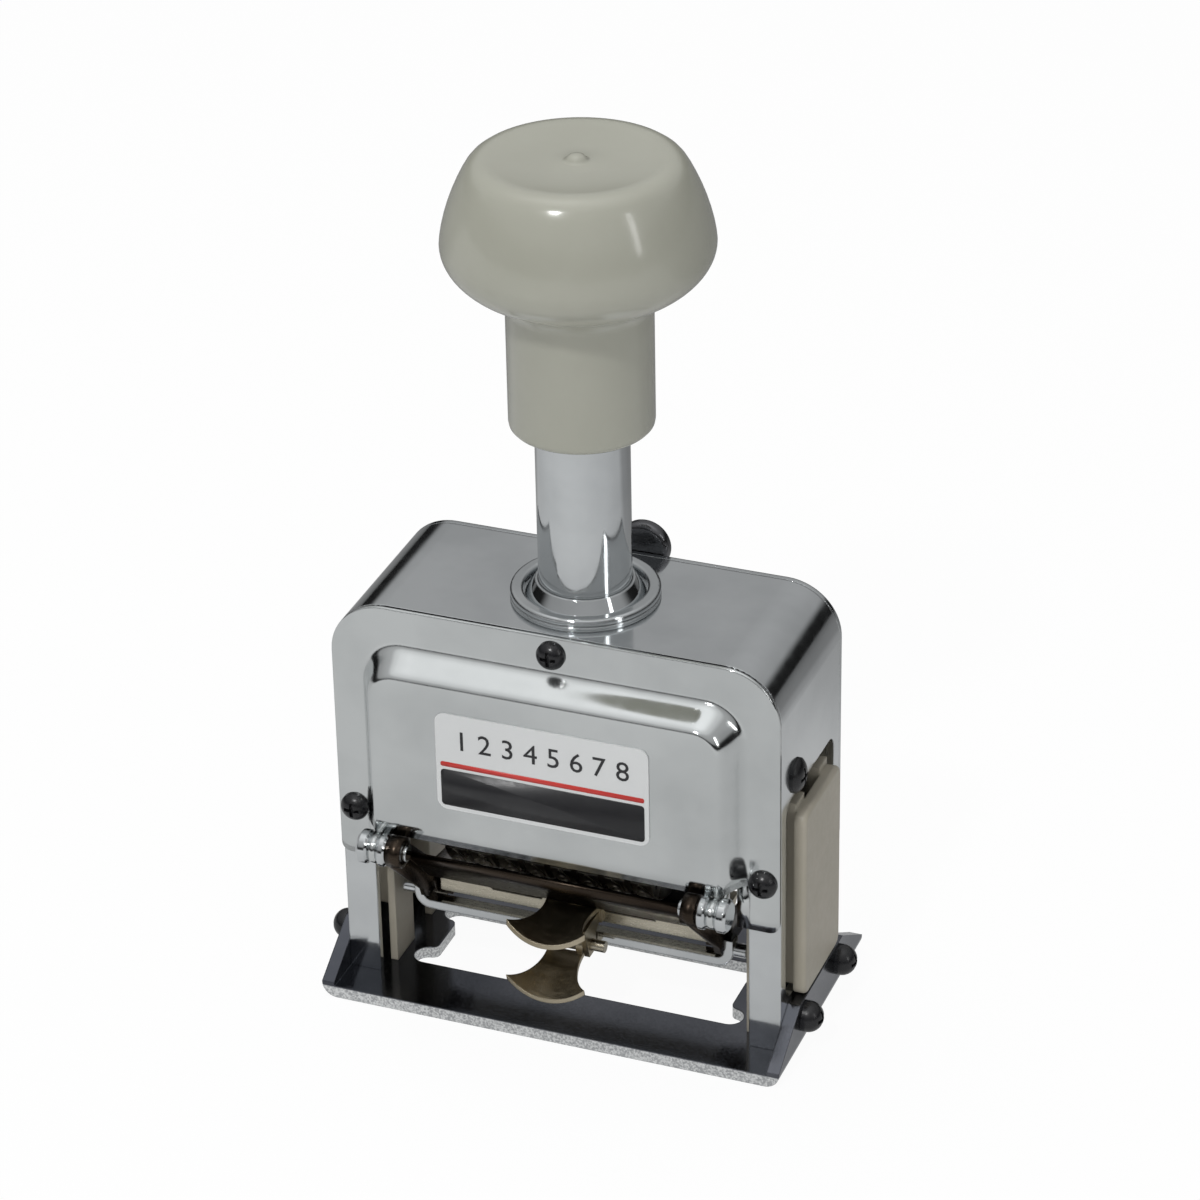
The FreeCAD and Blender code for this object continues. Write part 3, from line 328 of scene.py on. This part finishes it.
BASE_CHROME = base_chrome()
# Pad frame bar: its darkness is painted shade and a painted dark reflection on plated metal; the brown
# tint stands for the plating
BAR_PAINTED_SHADE = metal("bar_brown_painted_shade", (0.035, 0.026, 0.020), (0.085, 0.066, 0.050), 0.24, 0.38, 0.15 * MM,
                  700, (1, 5, 5), 0.12)
GRIP_NICKEL = metal("grip_nickel", (0.34, 0.29, 0.20), (0.60, 0.53, 0.40), 0.30, 0.42, 0.25 * MM,
                    500, (1, 4, 4), 0.10)
LEVER_GREY = metal("lever_grey", (0.10, 0.10, 0.105), (0.19, 0.19, 0.20), 0.18, 0.30, 0.3 * MM)
FRAME_CHROME = metal("plated_frame", (0.62, 0.64, 0.65), (0.72, 0.74, 0.75), 0.08, 0.15, 0.35 * MM)
STEEL = metal("turned_steel", (0.30, 0.30, 0.30), (0.46, 0.46, 0.45), 0.25, 0.42, 0.2 * MM)
WARM_NICKEL = metal("warm_nickel", (0.50, 0.46, 0.37), (0.66, 0.61, 0.50), 0.24, 0.36, 0.2 * MM,
                    900, (1, 6, 6), 0.12)
DARK_NICKEL = metal("dark_nickel", (0.09, 0.07, 0.055), (0.20, 0.16, 0.12), 0.20, 0.36, 0.2 * MM,
                    700, (1, 5, 5), 0.12)
TYPE_STEEL = metal("type_steel", (0.55, 0.52, 0.46), (0.90, 0.87, 0.80), 0.25, 0.42, 0.12 * MM)
SPRING_STEEL = metal("spring_steel", (0.22, 0.22, 0.23), (0.38, 0.38, 0.39), 0.2, 0.35, 0.1 * MM)
KNOB_GREY = moulding("knob_grey", (0.335, 0.335, 0.283), (0.350, 0.350, 0.297), 0.16, 0.20, 0, 0.35)
GUIDE_BEIGE = moulding("guide_beige", (0.34, 0.315, 0.255), (0.37, 0.34, 0.28), 0.38, 0.48, 0.4 * MM)
SCREW_BLACK = moulding("screw_black", (0.006, 0.006, 0.007), (0.014, 0.014, 0.016), 0.22, 0.34, 0.15 * MM)
FELT = moulding("inked_felt", (0.012, 0.012, 0.016), (0.03, 0.03, 0.035), 0.85, 0.95, 0)
LABEL_WHITE = moulding("label_white", (0.60, 0.61, 0.61), (0.62, 0.63, 0.63), 0.42, 0.48, 0)
INK_BLACK = moulding("print_black", (0.012, 0.012, 0.014), (0.02, 0.02, 0.022), 0.3, 0.4, 0)
INK_RED = moulding("print_red", (0.50, 0.03, 0.025), (0.56, 0.04, 0.03), 0.3, 0.4, 0)

FINISH = {
    "chrome_plate": CHROME, "steel": STEEL, "beige_plastic": GUIDE_BEIGE, "grey_plastic": KNOB_GREY,
    "black_screw": SCREW_BLACK, "label": LABEL_WHITE, "spring_steel": SPRING_STEEL,
    "dark_nickel": DARK_NICKEL, "warm_nickel": WARM_NICKEL, "felt": FELT, "wheel_steel": TYPE_STEEL,
}

SPECIAL_FINISH = {
    "frame_shell": FRAME_CHROME, "base_plate": BASE_CHROME, "repeat_lever": LEVER_GREY,
    "upper_grip": GRIP_NICKEL, "lower_grip": GRIP_NICKEL,
}


def dress_cad_nodes():
    """Every carried-over node takes the finish of its slot, or a special one."""
    slots = {entry["node"]: entry["material_slot"] for entry in frame["record"]["subparts"]}
    for name, piece in nodes.items():
        piece.data.materials.clear()
        piece.data.materials.append(SPECIAL_FINISH.get(name, FINISH[slots[name]]))


def new_piece(name, body, finish, build):
    """A mesh piece that build(bmesh) fills, riding on a body."""
    mesh = bpy.data.meshes.new(name)
    shape = bmesh.new()
    build(shape)
    bmesh.ops.recalc_face_normals(shape, faces=shape.faces)
    shape.to_mesh(mesh)
    shape.free()
    for face in mesh.polygons:
        face.use_smooth = True
    mesh.materials.append(finish)
    piece = bpy.data.objects.new(name, mesh)
    bpy.context.scene.collection.objects.link(piece)
    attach(piece, body)
    return piece


def bridge(shape, first, second):
    """Faces between two closed rings with the same number of points."""
    count = len(first)
    for k in range(count):
        j = (k + 1) % count
        shape.faces.new((first[k], first[j], second[j], second[k]))


def sweep(shape, rings):
    """A solid through a row of rings, closed at both ends."""
    for ring, following in zip(rings, rings[1:]):
        bridge(shape, ring, following)
    shape.faces.new(rings[0])
    shape.faces.new(rings[-1])


def plate(shape, outline, x0, x1):
    """A sheet across X, its outline given as (y, z) in millimetres about the stem's axis."""
    sweep(shape, [[shape.verts.new((x * MM, STEM_Y + y * MM, z * MM)) for y, z in outline]
                  for x in (x0, x1)])


def circle(y, z, radius, sides=48, start=0.0, end=360.0):
    """Points round a circle, or along an arc with both its ends, from start to end in degrees."""
    steps = sides if end - start >= 360.0 else sides + 1
    return [(y + radius * math.cos(math.radians(start + (end - start) * k / sides)),
             z + radius * math.sin(math.radians(start + (end - start) * k / sides))) for k in range(steps)]


def washer(shape, y, z, inner, outer, x0, x1, sides=48):
    """A round boss with a bore along X."""
    rings = []
    for x, radius in ((x0, inner), (x0, outer), (x1, outer), (x1, inner)):
        rings.append([shape.verts.new((x * MM, STEM_Y + a * MM, b * MM))
                      for a, b in circle(y, z, radius, sides)])
    for first, second in zip(rings, rings[1:] + rings[:1]):
        bridge(shape, first, second)


def soften(shape, width, clamp):
    """A small real bevel on every hard edge."""
    edges = [edge for edge in shape.edges if edge.is_manifold and edge.calc_face_angle(0) > HARD_EDGE]
    bmesh.ops.bevel(shape, geom=edges, offset=width, segments=2, affect="EDGES", profile=0.5,
                    clamp_overlap=clamp)


def arch_curve(half, low, start, top, corner, leg_steps=4, side_steps=10, arc_steps=14, top_steps=16):
    """Points (x, z) up one side, over the top and down the other, and the number in each leg.

    The legs run from low to start, and the sides go on from there.
    """
    left = [(-half, low + (start - low) * k / leg_steps) for k in range(leg_steps)] if low < start else []
    side = [(-half, start + (top - corner - start) * k / side_steps) for k in range(side_steps)]
    arc = [(-half + corner - corner * math.cos(math.pi / 2 * k / arc_steps),
            top - corner + corner * math.sin(math.pi / 2 * k / arc_steps)) for k in range(arc_steps)]
    flat = [((-half + corner) * (1 - k / top_steps), top) for k in range(top_steps)]
    left = left + side + arc + flat
    return left + [(0.0, top)] + [(-x, z) for x, z in reversed(left)], len(left) - len(side + arc + flat)


def front_cover():
    """The pressed front cover: flat flange, rolled panel and the two hinge ears."""

    def build(shape):
        def row(points, y):
            return [shape.verts.new((x * MM, STEM_Y + y * MM, z * MM)) for x, z in points]

        def strip(first, second):
            for k in range(len(first) - 1):
                shape.faces.new((first[k], first[k + 1], second[k + 1], second[k]))

        inset_full = COVER_HALF - PANEL_HALF
        rows = []
        for inset in (*COVER_INSETS, inset_full + ROLL_START):
            rest = max(COVER_LOW_CORNER - inset, 0.0)
            rise = COVER_LOW_CORNER - math.sqrt(COVER_LOW_CORNER ** 2 - rest ** 2)
            share = inset / inset_full
            points, legs = arch_curve(COVER_HALF - inset, COVER_LOW + rise, PANEL_LOW,
                                      COVER_TOP + (PANEL_TOP - COVER_TOP) * share,
                                      COVER_CORNER + (PANEL_CORNER - COVER_CORNER) * share)
            rows.append(row(points, -COVER_FACE))
        for first, second in zip(rows, rows[1:]):
            strip(first, second)
        last = rows[-1][legs:len(rows[-1]) - legs]
        for ring in range(1, ROLL_RINGS + 1):
            share = ring / ROLL_RINGS
            inset = ROLL_START + (ROLL_END - ROLL_START) * share
            height = PANEL_PROUD * share * share * (3 - 2 * share)
            points, _ = arch_curve(PANEL_HALF - inset, PANEL_LOW, PANEL_LOW, PANEL_TOP - inset,
                                   PANEL_CORNER - inset * ROLL_CORNER_SHARE)
            following = row(points, -COVER_FACE - height)
            strip(last, following)
            last = following
        shape.faces.new(last)
        bmesh.ops.recalc_face_normals(shape, faces=shape.faces)
        flat = max(shape.faces, key=lambda face: face.calc_area())
        inward = 1 if flat.normal.y < 0 else -1
        bmesh.ops.solidify(shape, geom=list(shape.faces), thickness=inward * COVER_SHEET * MM)
        y, z = HINGE
        ear = ([(-COVER_FACE, PANEL_LOW + EAR_RISE), (-COVER_FACE - EAR_PROUD, PANEL_LOW + EAR_RISE),
                (-COVER_FACE - EAR_PROUD, PANEL_LOW)]
               + circle(y, z, EAR_ROUND, 24, *EAR_ARC) + [(-COVER_FACE, z - EAR_DROP)])
        foot = [(-COVER_FACE, COVER_LOW), (-COVER_FACE, PANEL_LOW), (-COVER_FACE + COVER_SHEET, PANEL_LOW),
                (-COVER_FACE + COVER_SHEET, COVER_LOW)]
        for side in (-1, 1):
            plate(shape, ear, side * EAR_INNER, side * EAR_OUTER)
            plate(shape, foot, side * COVER_FOOT_INNER, side * (PANEL_HALF - ROLL_START))

    piece = new_piece("front_cover_pressed", "frame", SATIN_CHROME, build)
    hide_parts("front_cover")


def pad_frame():
    """The swinging frame: two arms, ledges for the tray and the stepped bar hung from its hinge."""

    def build(shape):
        y, z = HINGE
        run = (BAR_EDGE[0] - BAR_TOP[0], BAR_EDGE[1] - BAR_TOP[1])
        length = math.hypot(*run)
        along = (run[0] / length, run[1] / length)
        across = (-along[1] * BAR_SHEET, along[0] * BAR_SHEET)

        def sheet(x0, x1, start, reach):
            corners = [(BAR_TOP[0] + along[0] * k, BAR_TOP[1] + along[1] * k) for k in (start, reach)]
            back = [(a + across[0], b + across[1]) for a, b in reversed(corners)]
            plate(shape, corners + back, x0, x1)

        for side in (-1, 1):
            plate(shape, ARM_OUTLINE, side * ARM_INNER, side * ARM_OUTER)
            washer(shape, y, z, PIN_RADIUS, HINGE_ROLL, side * (ARM_INNER - PIN_BOSS),
                   side * (ARM_OUTER + PIN_OVERLAP))
            plate(shape, LEDGE_OUTLINE, side * (ARM_INNER - LEDGE_REACH), side * (ARM_INNER + ARM_OVERLAP))
        sheet(-ARM_INNER - ARM_OVERLAP, ARM_INNER + ARM_OVERLAP, 0.0, length - BAR_STEP)
        sheet(-BAR_TAB_HALF, -BAR_NOTCH_HALF, length - BAR_STEP, length)
        sheet(BAR_NOTCH_HALF, BAR_TAB_HALF, length - BAR_STEP, length)
        soften(shape, BAR_BEVEL * MM, True)

    piece = new_piece("pad_frame_bar", "pad_swing_frame", BAR_PAINTED_SHADE, build)
    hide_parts("pad_frame")


def selector_figures():
    """Raised figures on the rear cover, one at each stop of the lever."""

    def build(shape):
        for number, stop in enumerate(SELECTOR_STOPS):
            figure = figure_mesh(str(number), SELECTOR_FONT, SELECTOR_RAISE)
            angle = math.radians(stop)
            place = (Matrix.Translation((SELECTOR_REACH * math.sin(angle),
                                         STEM_Y + (COVER_FACE + SELECTOR_LIFT) * MM,
                                         SELECTOR_Z + SELECTOR_REACH * math.cos(angle)))
                     @ Matrix.Rotation(math.radians(180), 4, "Z")
                     @ Matrix.Rotation(math.radians(90), 4, "X"))
            add_figure(shape, figure, place)

    new_piece("selector_figures", "frame", INK_BLACK, build)


def figure_mesh(text, size, depth, slices=0):
    """One extruded figure, centred on the origin and facing +Z, as (points, faces, size).

    Slices cut it across, so that it can follow a curved face.
    """
    curve = bpy.data.curves.new("figure_" + text, "FONT")
    curve.body = text
    curve.size = size
    curve.extrude = depth / 2
    curve.resolution_u = 3
    curve.align_x = "CENTER"
    curve.align_y = "CENTER"
    holder = bpy.data.objects.new("figure_" + text, curve)
    bpy.context.scene.collection.objects.link(holder)
    bpy.context.view_layer.update()
    mesh = bpy.data.meshes.new_from_object(holder)
    shape = bmesh.new()
    shape.from_mesh(mesh)
    for cut in range(1, slices):
        everything = list(shape.verts) + list(shape.edges) + list(shape.faces)
        bmesh.ops.bisect_plane(shape, geom=everything, plane_co=(0, (cut / slices - 0.5) * size, 0),
                               plane_no=(0, 1, 0))
    shape.verts.index_update()
    points = [vertex.co.copy() for vertex in shape.verts]
    faces = [[corner.index for corner in face.verts] for face in shape.faces]
    shape.free()
    low = Vector((min(p.x for p in points), min(p.y for p in points), 0))
    high = Vector((max(p.x for p in points), max(p.y for p in points), 0))
    middle = (low + high) / 2
    bpy.data.objects.remove(holder)
    bpy.data.curves.remove(curve)
    return [p - middle for p in points], faces, high - low


def add_figure(shape, figure, place, scale=(1, 1, 1), bend=0.0):
    """Put a figure in place; bend wraps it round a drum of that radius about the X axis."""
    points, faces, _ = figure
    corners = []
    for p in points:
        x, y, z = p.x * scale[0], p.y * scale[1], p.z * scale[2]
        if bend:
            y, z = (bend + z) * math.sin(y / bend), (bend + z) * math.cos(y / bend)
        corners.append(shape.verts.new(place @ Vector((x, y, z))))
    for face in faces:
        shape.faces.new([corners[index] for index in face])


def wheel_figures():
    """Raised figures, reversed left to right, on the ten blocks of each number wheel."""
    figures = [figure_mesh(str(number), FIGURE_FONT, FIGURE_RAISE * 2, FIGURE_SLICES)
               for number in range(10)]
    for index in range(WHEEL_COUNT):
        centre_x = WHEEL_LEFT + index * WHEEL_PITCH + TYPE_WIDTH / 2

        def build(shape, centre_x=centre_x):
            for number in range(10):
                width, height = figures[number][2].x, figures[number][2].y
                scale = (-(TYPE_WIDTH * FIGURE_SHARE) / max(width, height * FIGURE_NARROWEST),
                         FIGURE_HEIGHT / height, 1)
                turn = Matrix.Rotation(math.radians(number * FIGURE_STEP - 90), 4, "X")
                axis = Matrix.Translation((centre_x, STEM_Y, WHEEL_AXIS_Z))
                add_figure(shape, figures[number], axis @ turn, scale, WHEEL_RADIUS)

        new_piece("wheel_figures_%d" % (index + 1), "wheel_%d" % (index + 1), TYPE_STEEL,
                  build)


def knob():
    """The grip knob, turned from its outline."""
    radius, equator, depth, reach = KNOB_UNDER
    under = [(radius * math.cos(math.radians(a)), equator - depth * math.sin(math.radians(a)))
             for a in [reach * (1 - k / KNOB_UNDER_STEPS) for k in range(1, KNOB_UNDER_STEPS + 1)]]
    under = [point for point in under if point[0] > KNOB_SLEEVE[-1][0]]
    outline = KNOB_SLEEVE + under + KNOB_CROWN

    def build(shape):
        rings = []
        for radius, z in outline:
            if radius == 0.0:
                rings.append([shape.verts.new((0, STEM_Y, z * MM))])
                continue
            turns = [2 * math.pi * k / KNOB_SIDES for k in range(KNOB_SIDES)]
            rings.append([shape.verts.new((radius * MM * math.cos(turn),
                                           STEM_Y + radius * MM * math.sin(turn), z * MM))
                          for turn in turns])
        for low, high in zip(rings, rings[1:-1]):
            bridge(shape, low, high)
        last, (tip,) = rings[-2:]
        for k in range(KNOB_SIDES):
            shape.faces.new((last[k], last[(k + 1) % KNOB_SIDES], tip))

    piece = new_piece("knob_turned", "plunger", KNOB_GREY, build)
    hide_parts("knob")


def ink_pad():
    """The felt block in the tray, softly rounded and a little uneven on top."""

    def build(shape):
        rings = []
        for step in range(PAD_STEPS + 1):
            x = -PAD_HALF + 2 * PAD_HALF * step / PAD_STEPS
            rings.append([shape.verts.new((x, STEM_Y + y * MM, z * MM)) for y, z in PAD_OUTLINE])
        sweep(shape, rings)
        soften(shape, PAD_BEVEL, False)
        for vertex in shape.verts:
            if vertex.co.z > PAD_TOP:
                wave = math.sin(vertex.co.x * 900) + math.sin(vertex.co.x * 2300 + 1)
                vertex.co.z -= PAD_WAVE * (2 + wave)

    pad = new_piece("ink_pad_felt", "pad_holder", FELT, build)
    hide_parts("ink_pad")


def return_spring():
    """The coil inside the stem; the real one is held below and pressed from above, here it rides with the
    plunger at one length.
    """

    def build(shape):
        per_turn = 20
        sides = 8
        count = SPRING_TURNS * per_turn
        rings = []
        for step in range(count + 1):
            share = step / count
            angle = 2 * math.pi * SPRING_TURNS * share
            height = SPRING_LOW + SPRING_WIRE + (SPRING_HIGH - SPRING_LOW - 2 * SPRING_WIRE) * share
            ring = []
            for side in range(sides):
                turn = 2 * math.pi * side / sides
                radius = SPRING_RADIUS + SPRING_WIRE * math.cos(turn)
                ring.append(shape.verts.new((radius * math.cos(angle), STEM_Y + radius * math.sin(angle),
                                             height + SPRING_WIRE * math.sin(turn))))
            rings.append(ring)
        sweep(shape, rings)

    coil = new_piece("return_coil", "plunger", SPRING_STEEL, build)
    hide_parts("main_spring")
    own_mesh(coil)


def flat_print(name, finish, z0, z1):
    """A printed area across the label from z0 to z1: a thin block with rounded corners."""
    x1 = LABEL_HALF - LABEL_EDGE
    x0 = -LABEL_HALF + LABEL_EDGE
    y = LABEL_FACE_Y - PRINT_THICKNESS / 2
    radius = min(PRINT_CORNER, (z1 - z0) / 2.5)

    def build(shape):
        outline = []
        for x, z, start in ((x1 - radius, z1 - radius, 0), (x0 + radius, z1 - radius, 90),
                            (x0 + radius, z0 + radius, 180), (x1 - radius, z0 + radius, 270)):
            outline += circle(x, z, radius, sides=6, start=start, end=start + 90.0)
        sweep(shape, [[shape.verts.new((x, y + side * PRINT_THICKNESS / 2, z)) for x, z in outline]
                      for side in (-1, 1)])

    new_piece(name, "frame", finish, build)


def label_print():
    """A plain label: a dark lower band, a thin red rule and a row of figures."""
    band_top = LABEL_LOW + (LABEL_HIGH - LABEL_LOW) * BAND_SHARE
    flat_print("label_band", INK_BLACK, LABEL_LOW + LABEL_EDGE, band_top)
    flat_print("label_rule", INK_RED, band_top + RULE_START, band_top + RULE_END)

    def figures(shape):
        for number in range(WHEEL_COUNT):
            figure = figure_mesh(str(number + 1), PRINT_FONT, PRINT_THICKNESS)
            x = -LABEL_HALF + PRINT_MARGIN + number * PRINT_PITCH
            z = (band_top + LABEL_HIGH) / 2 + PRINT_RISE
            place = (Matrix.Translation((x, LABEL_FACE_Y - PRINT_THICKNESS / 2, z))
                     @ Matrix.Rotation(math.radians(90), 4, "X"))
            add_figure(shape, figure, place)

    new_piece("label_figures", "frame", INK_BLACK, figures)


def direction_ramp(tree, source, stops):
    """A faintly cool grey that follows the source through the (place, value) stops."""
    ramp = tree.nodes.new("ShaderNodeValToRGB")
    ramp.color_ramp.interpolation = "EASE"
    while len(ramp.color_ramp.elements) < len(stops):
        ramp.color_ramp.elements.new(0.5)
    for element, (place, value) in zip(ramp.color_ramp.elements, stops):
        element.position = place
        element.color = (value, value * 1.01, value * 1.015, 1)
    tree.links.new(source, ramp.inputs["Fac"])
    return ramp.outputs["Color"]


def world_sky():
    """White to the camera, soft fill to matt surfaces, a dark horizon under a pale sky to bright metal."""
    world = bpy.data.worlds.new("studio_sky")
    bpy.context.scene.world = world
    world.use_nodes = True
    sky = world.node_tree
    output = sky.nodes["World Output"]
    direction = sky.nodes.new("ShaderNodeTexCoord")
    split = sky.nodes.new("ShaderNodeSeparateXYZ")
    sky.links.new(direction.outputs["Generated"], split.inputs["Vector"])
    fill = sky.nodes["Background"]
    sky.links.new(direction_ramp(sky, split.outputs["Z"], SKY_FILL), fill.inputs["Color"])
    mirror = sky.nodes.new("ShaderNodeBackground")
    sky.links.new(direction_ramp(sky, split.outputs["Z"], SKY_MIRROR), mirror.inputs["Color"])
    white = sky.nodes.new("ShaderNodeBackground")
    white.inputs["Color"].default_value = (1, 1, 1, 1)
    rays = sky.nodes.new("ShaderNodeLightPath")
    shown = fill
    for flag, other in (("Is Glossy Ray", mirror), ("Is Camera Ray", white)):
        mix = sky.nodes.new("ShaderNodeMixShader")
        sky.links.new(rays.outputs[flag], mix.inputs[0])
        sky.links.new(shown.outputs[0], mix.inputs[1])
        sky.links.new(other.outputs[0], mix.inputs[2])
        shown = mix
    sky.links.new(shown.outputs[0], output.inputs["Surface"])


def floor_paper():
    """A white floor that keeps a faint shadow; bright metal sees it fall off towards the back."""
    corners = [(x * FLOOR_REACH, y * FLOOR_REACH, 0) for x, y in ((-1, -1), (1, -1), (1, 1), (-1, 1))]
    mesh = bpy.data.meshes.new("floor")
    mesh.from_pydata(corners, [], [(0, 1, 2, 3)])
    floor = bpy.data.objects.new("floor", mesh)
    bpy.context.scene.collection.objects.link(floor)
    paper = Tree("floor_paper")
    paper.set(Roughness=0.9, Base_Color=(0.8, 0.8, 0.8, 1))
    rays = paper.nodes.new("ShaderNodeLightPath")
    split = paper.nodes.new("ShaderNodeSeparateXYZ")
    paper.link(paper.place, split.inputs["Vector"])
    depth = paper.spread(split.outputs["Y"], 0, 1, -FLOOR_SPAN, FLOOR_SPAN)
    mirror = paper.nodes.new("ShaderNodeEmission")
    paper.link(direction_ramp(paper.material.node_tree, depth, FLOOR_MIRROR), mirror.inputs["Color"])
    glow = paper.nodes.new("ShaderNodeEmission")
    shown = paper.shader
    for flag, other, share in (("Is Glossy Ray", mirror, FLOOR_GLOSSY_SHARE),
                               ("Is Camera Ray", glow, FLOOR_CAMERA_SHARE)):
        seen = paper.nodes.new("ShaderNodeMath")
        seen.operation = "MULTIPLY"
        seen.inputs[1].default_value = share
        paper.link(rays.outputs[flag], seen.inputs[0])
        mix = paper.nodes.new("ShaderNodeMixShader")
        paper.link(seen.outputs[0], mix.inputs[0])
        paper.link(shown.outputs[0], mix.inputs[1])
        paper.link(other.outputs[0], mix.inputs[2])
        shown = mix
    paper.link(shown.outputs[0], paper.nodes["Material Output"].inputs["Surface"])
    mesh.materials.append(paper.material)


def lights():
    """Area lamps, all turned to the middle of the object."""
    for name, place, size, power, mirrored in LAMPS:
        light = bpy.data.lights.new(name, "AREA")
        light.shape = "RECTANGLE"
        light.size, light.size_y = size
        light.energy = power
        holder = bpy.data.objects.new(name, light)
        bpy.context.scene.collection.objects.link(holder)
        holder.visible_glossy = mirrored
        holder.location = place
        toward = Vector(LAMP_AIM) - Vector(place)
        holder.rotation_euler = toward.to_track_quat("-Z", "Y").to_euler()


def camera():
    """The solved camera, turned by azimuth, elevation and roll about its target."""
    azimuth = math.radians(CAMERA_AZIMUTH)
    elevation = math.radians(CAMERA_ELEVATION)
    roll = math.radians(CAMERA_ROLL)
    back = Vector((math.sin(azimuth) * math.cos(elevation), -math.cos(azimuth) * math.cos(elevation),
                   math.sin(elevation)))
    right = Vector((math.cos(azimuth), math.sin(azimuth), 0))
    up = back.cross(right)
    turned_right = right * math.cos(roll) + up * math.sin(roll)
    turned_up = up * math.cos(roll) - right * math.sin(roll)
    turn = Matrix((turned_right, turned_up, back)).transposed().to_4x4()
    lens = bpy.data.cameras.new("camera")
    lens.lens = CAMERA_LENS
    lens.sensor_width = CAMERA_SENSOR
    lens.shift_x, lens.shift_y = CAMERA_SHIFT
    lens.clip_start = CAMERA_NEAR
    holder = bpy.data.objects.new("camera", lens)
    bpy.context.scene.collection.objects.link(holder)
    holder.matrix_world = Matrix.Translation(Vector(CAMERA_TARGET) + back * CAMERA_DISTANCE) @ turn
    bpy.context.scene.camera = holder


dress_cad_nodes()
wheel_figures()
label_print()
ink_pad()
return_spring()
knob()
front_cover()
pad_frame()
selector_figures()
world_sky()
floor_paper()
lights()
camera()
bpy.context.scene.view_settings.view_transform = "Standard"
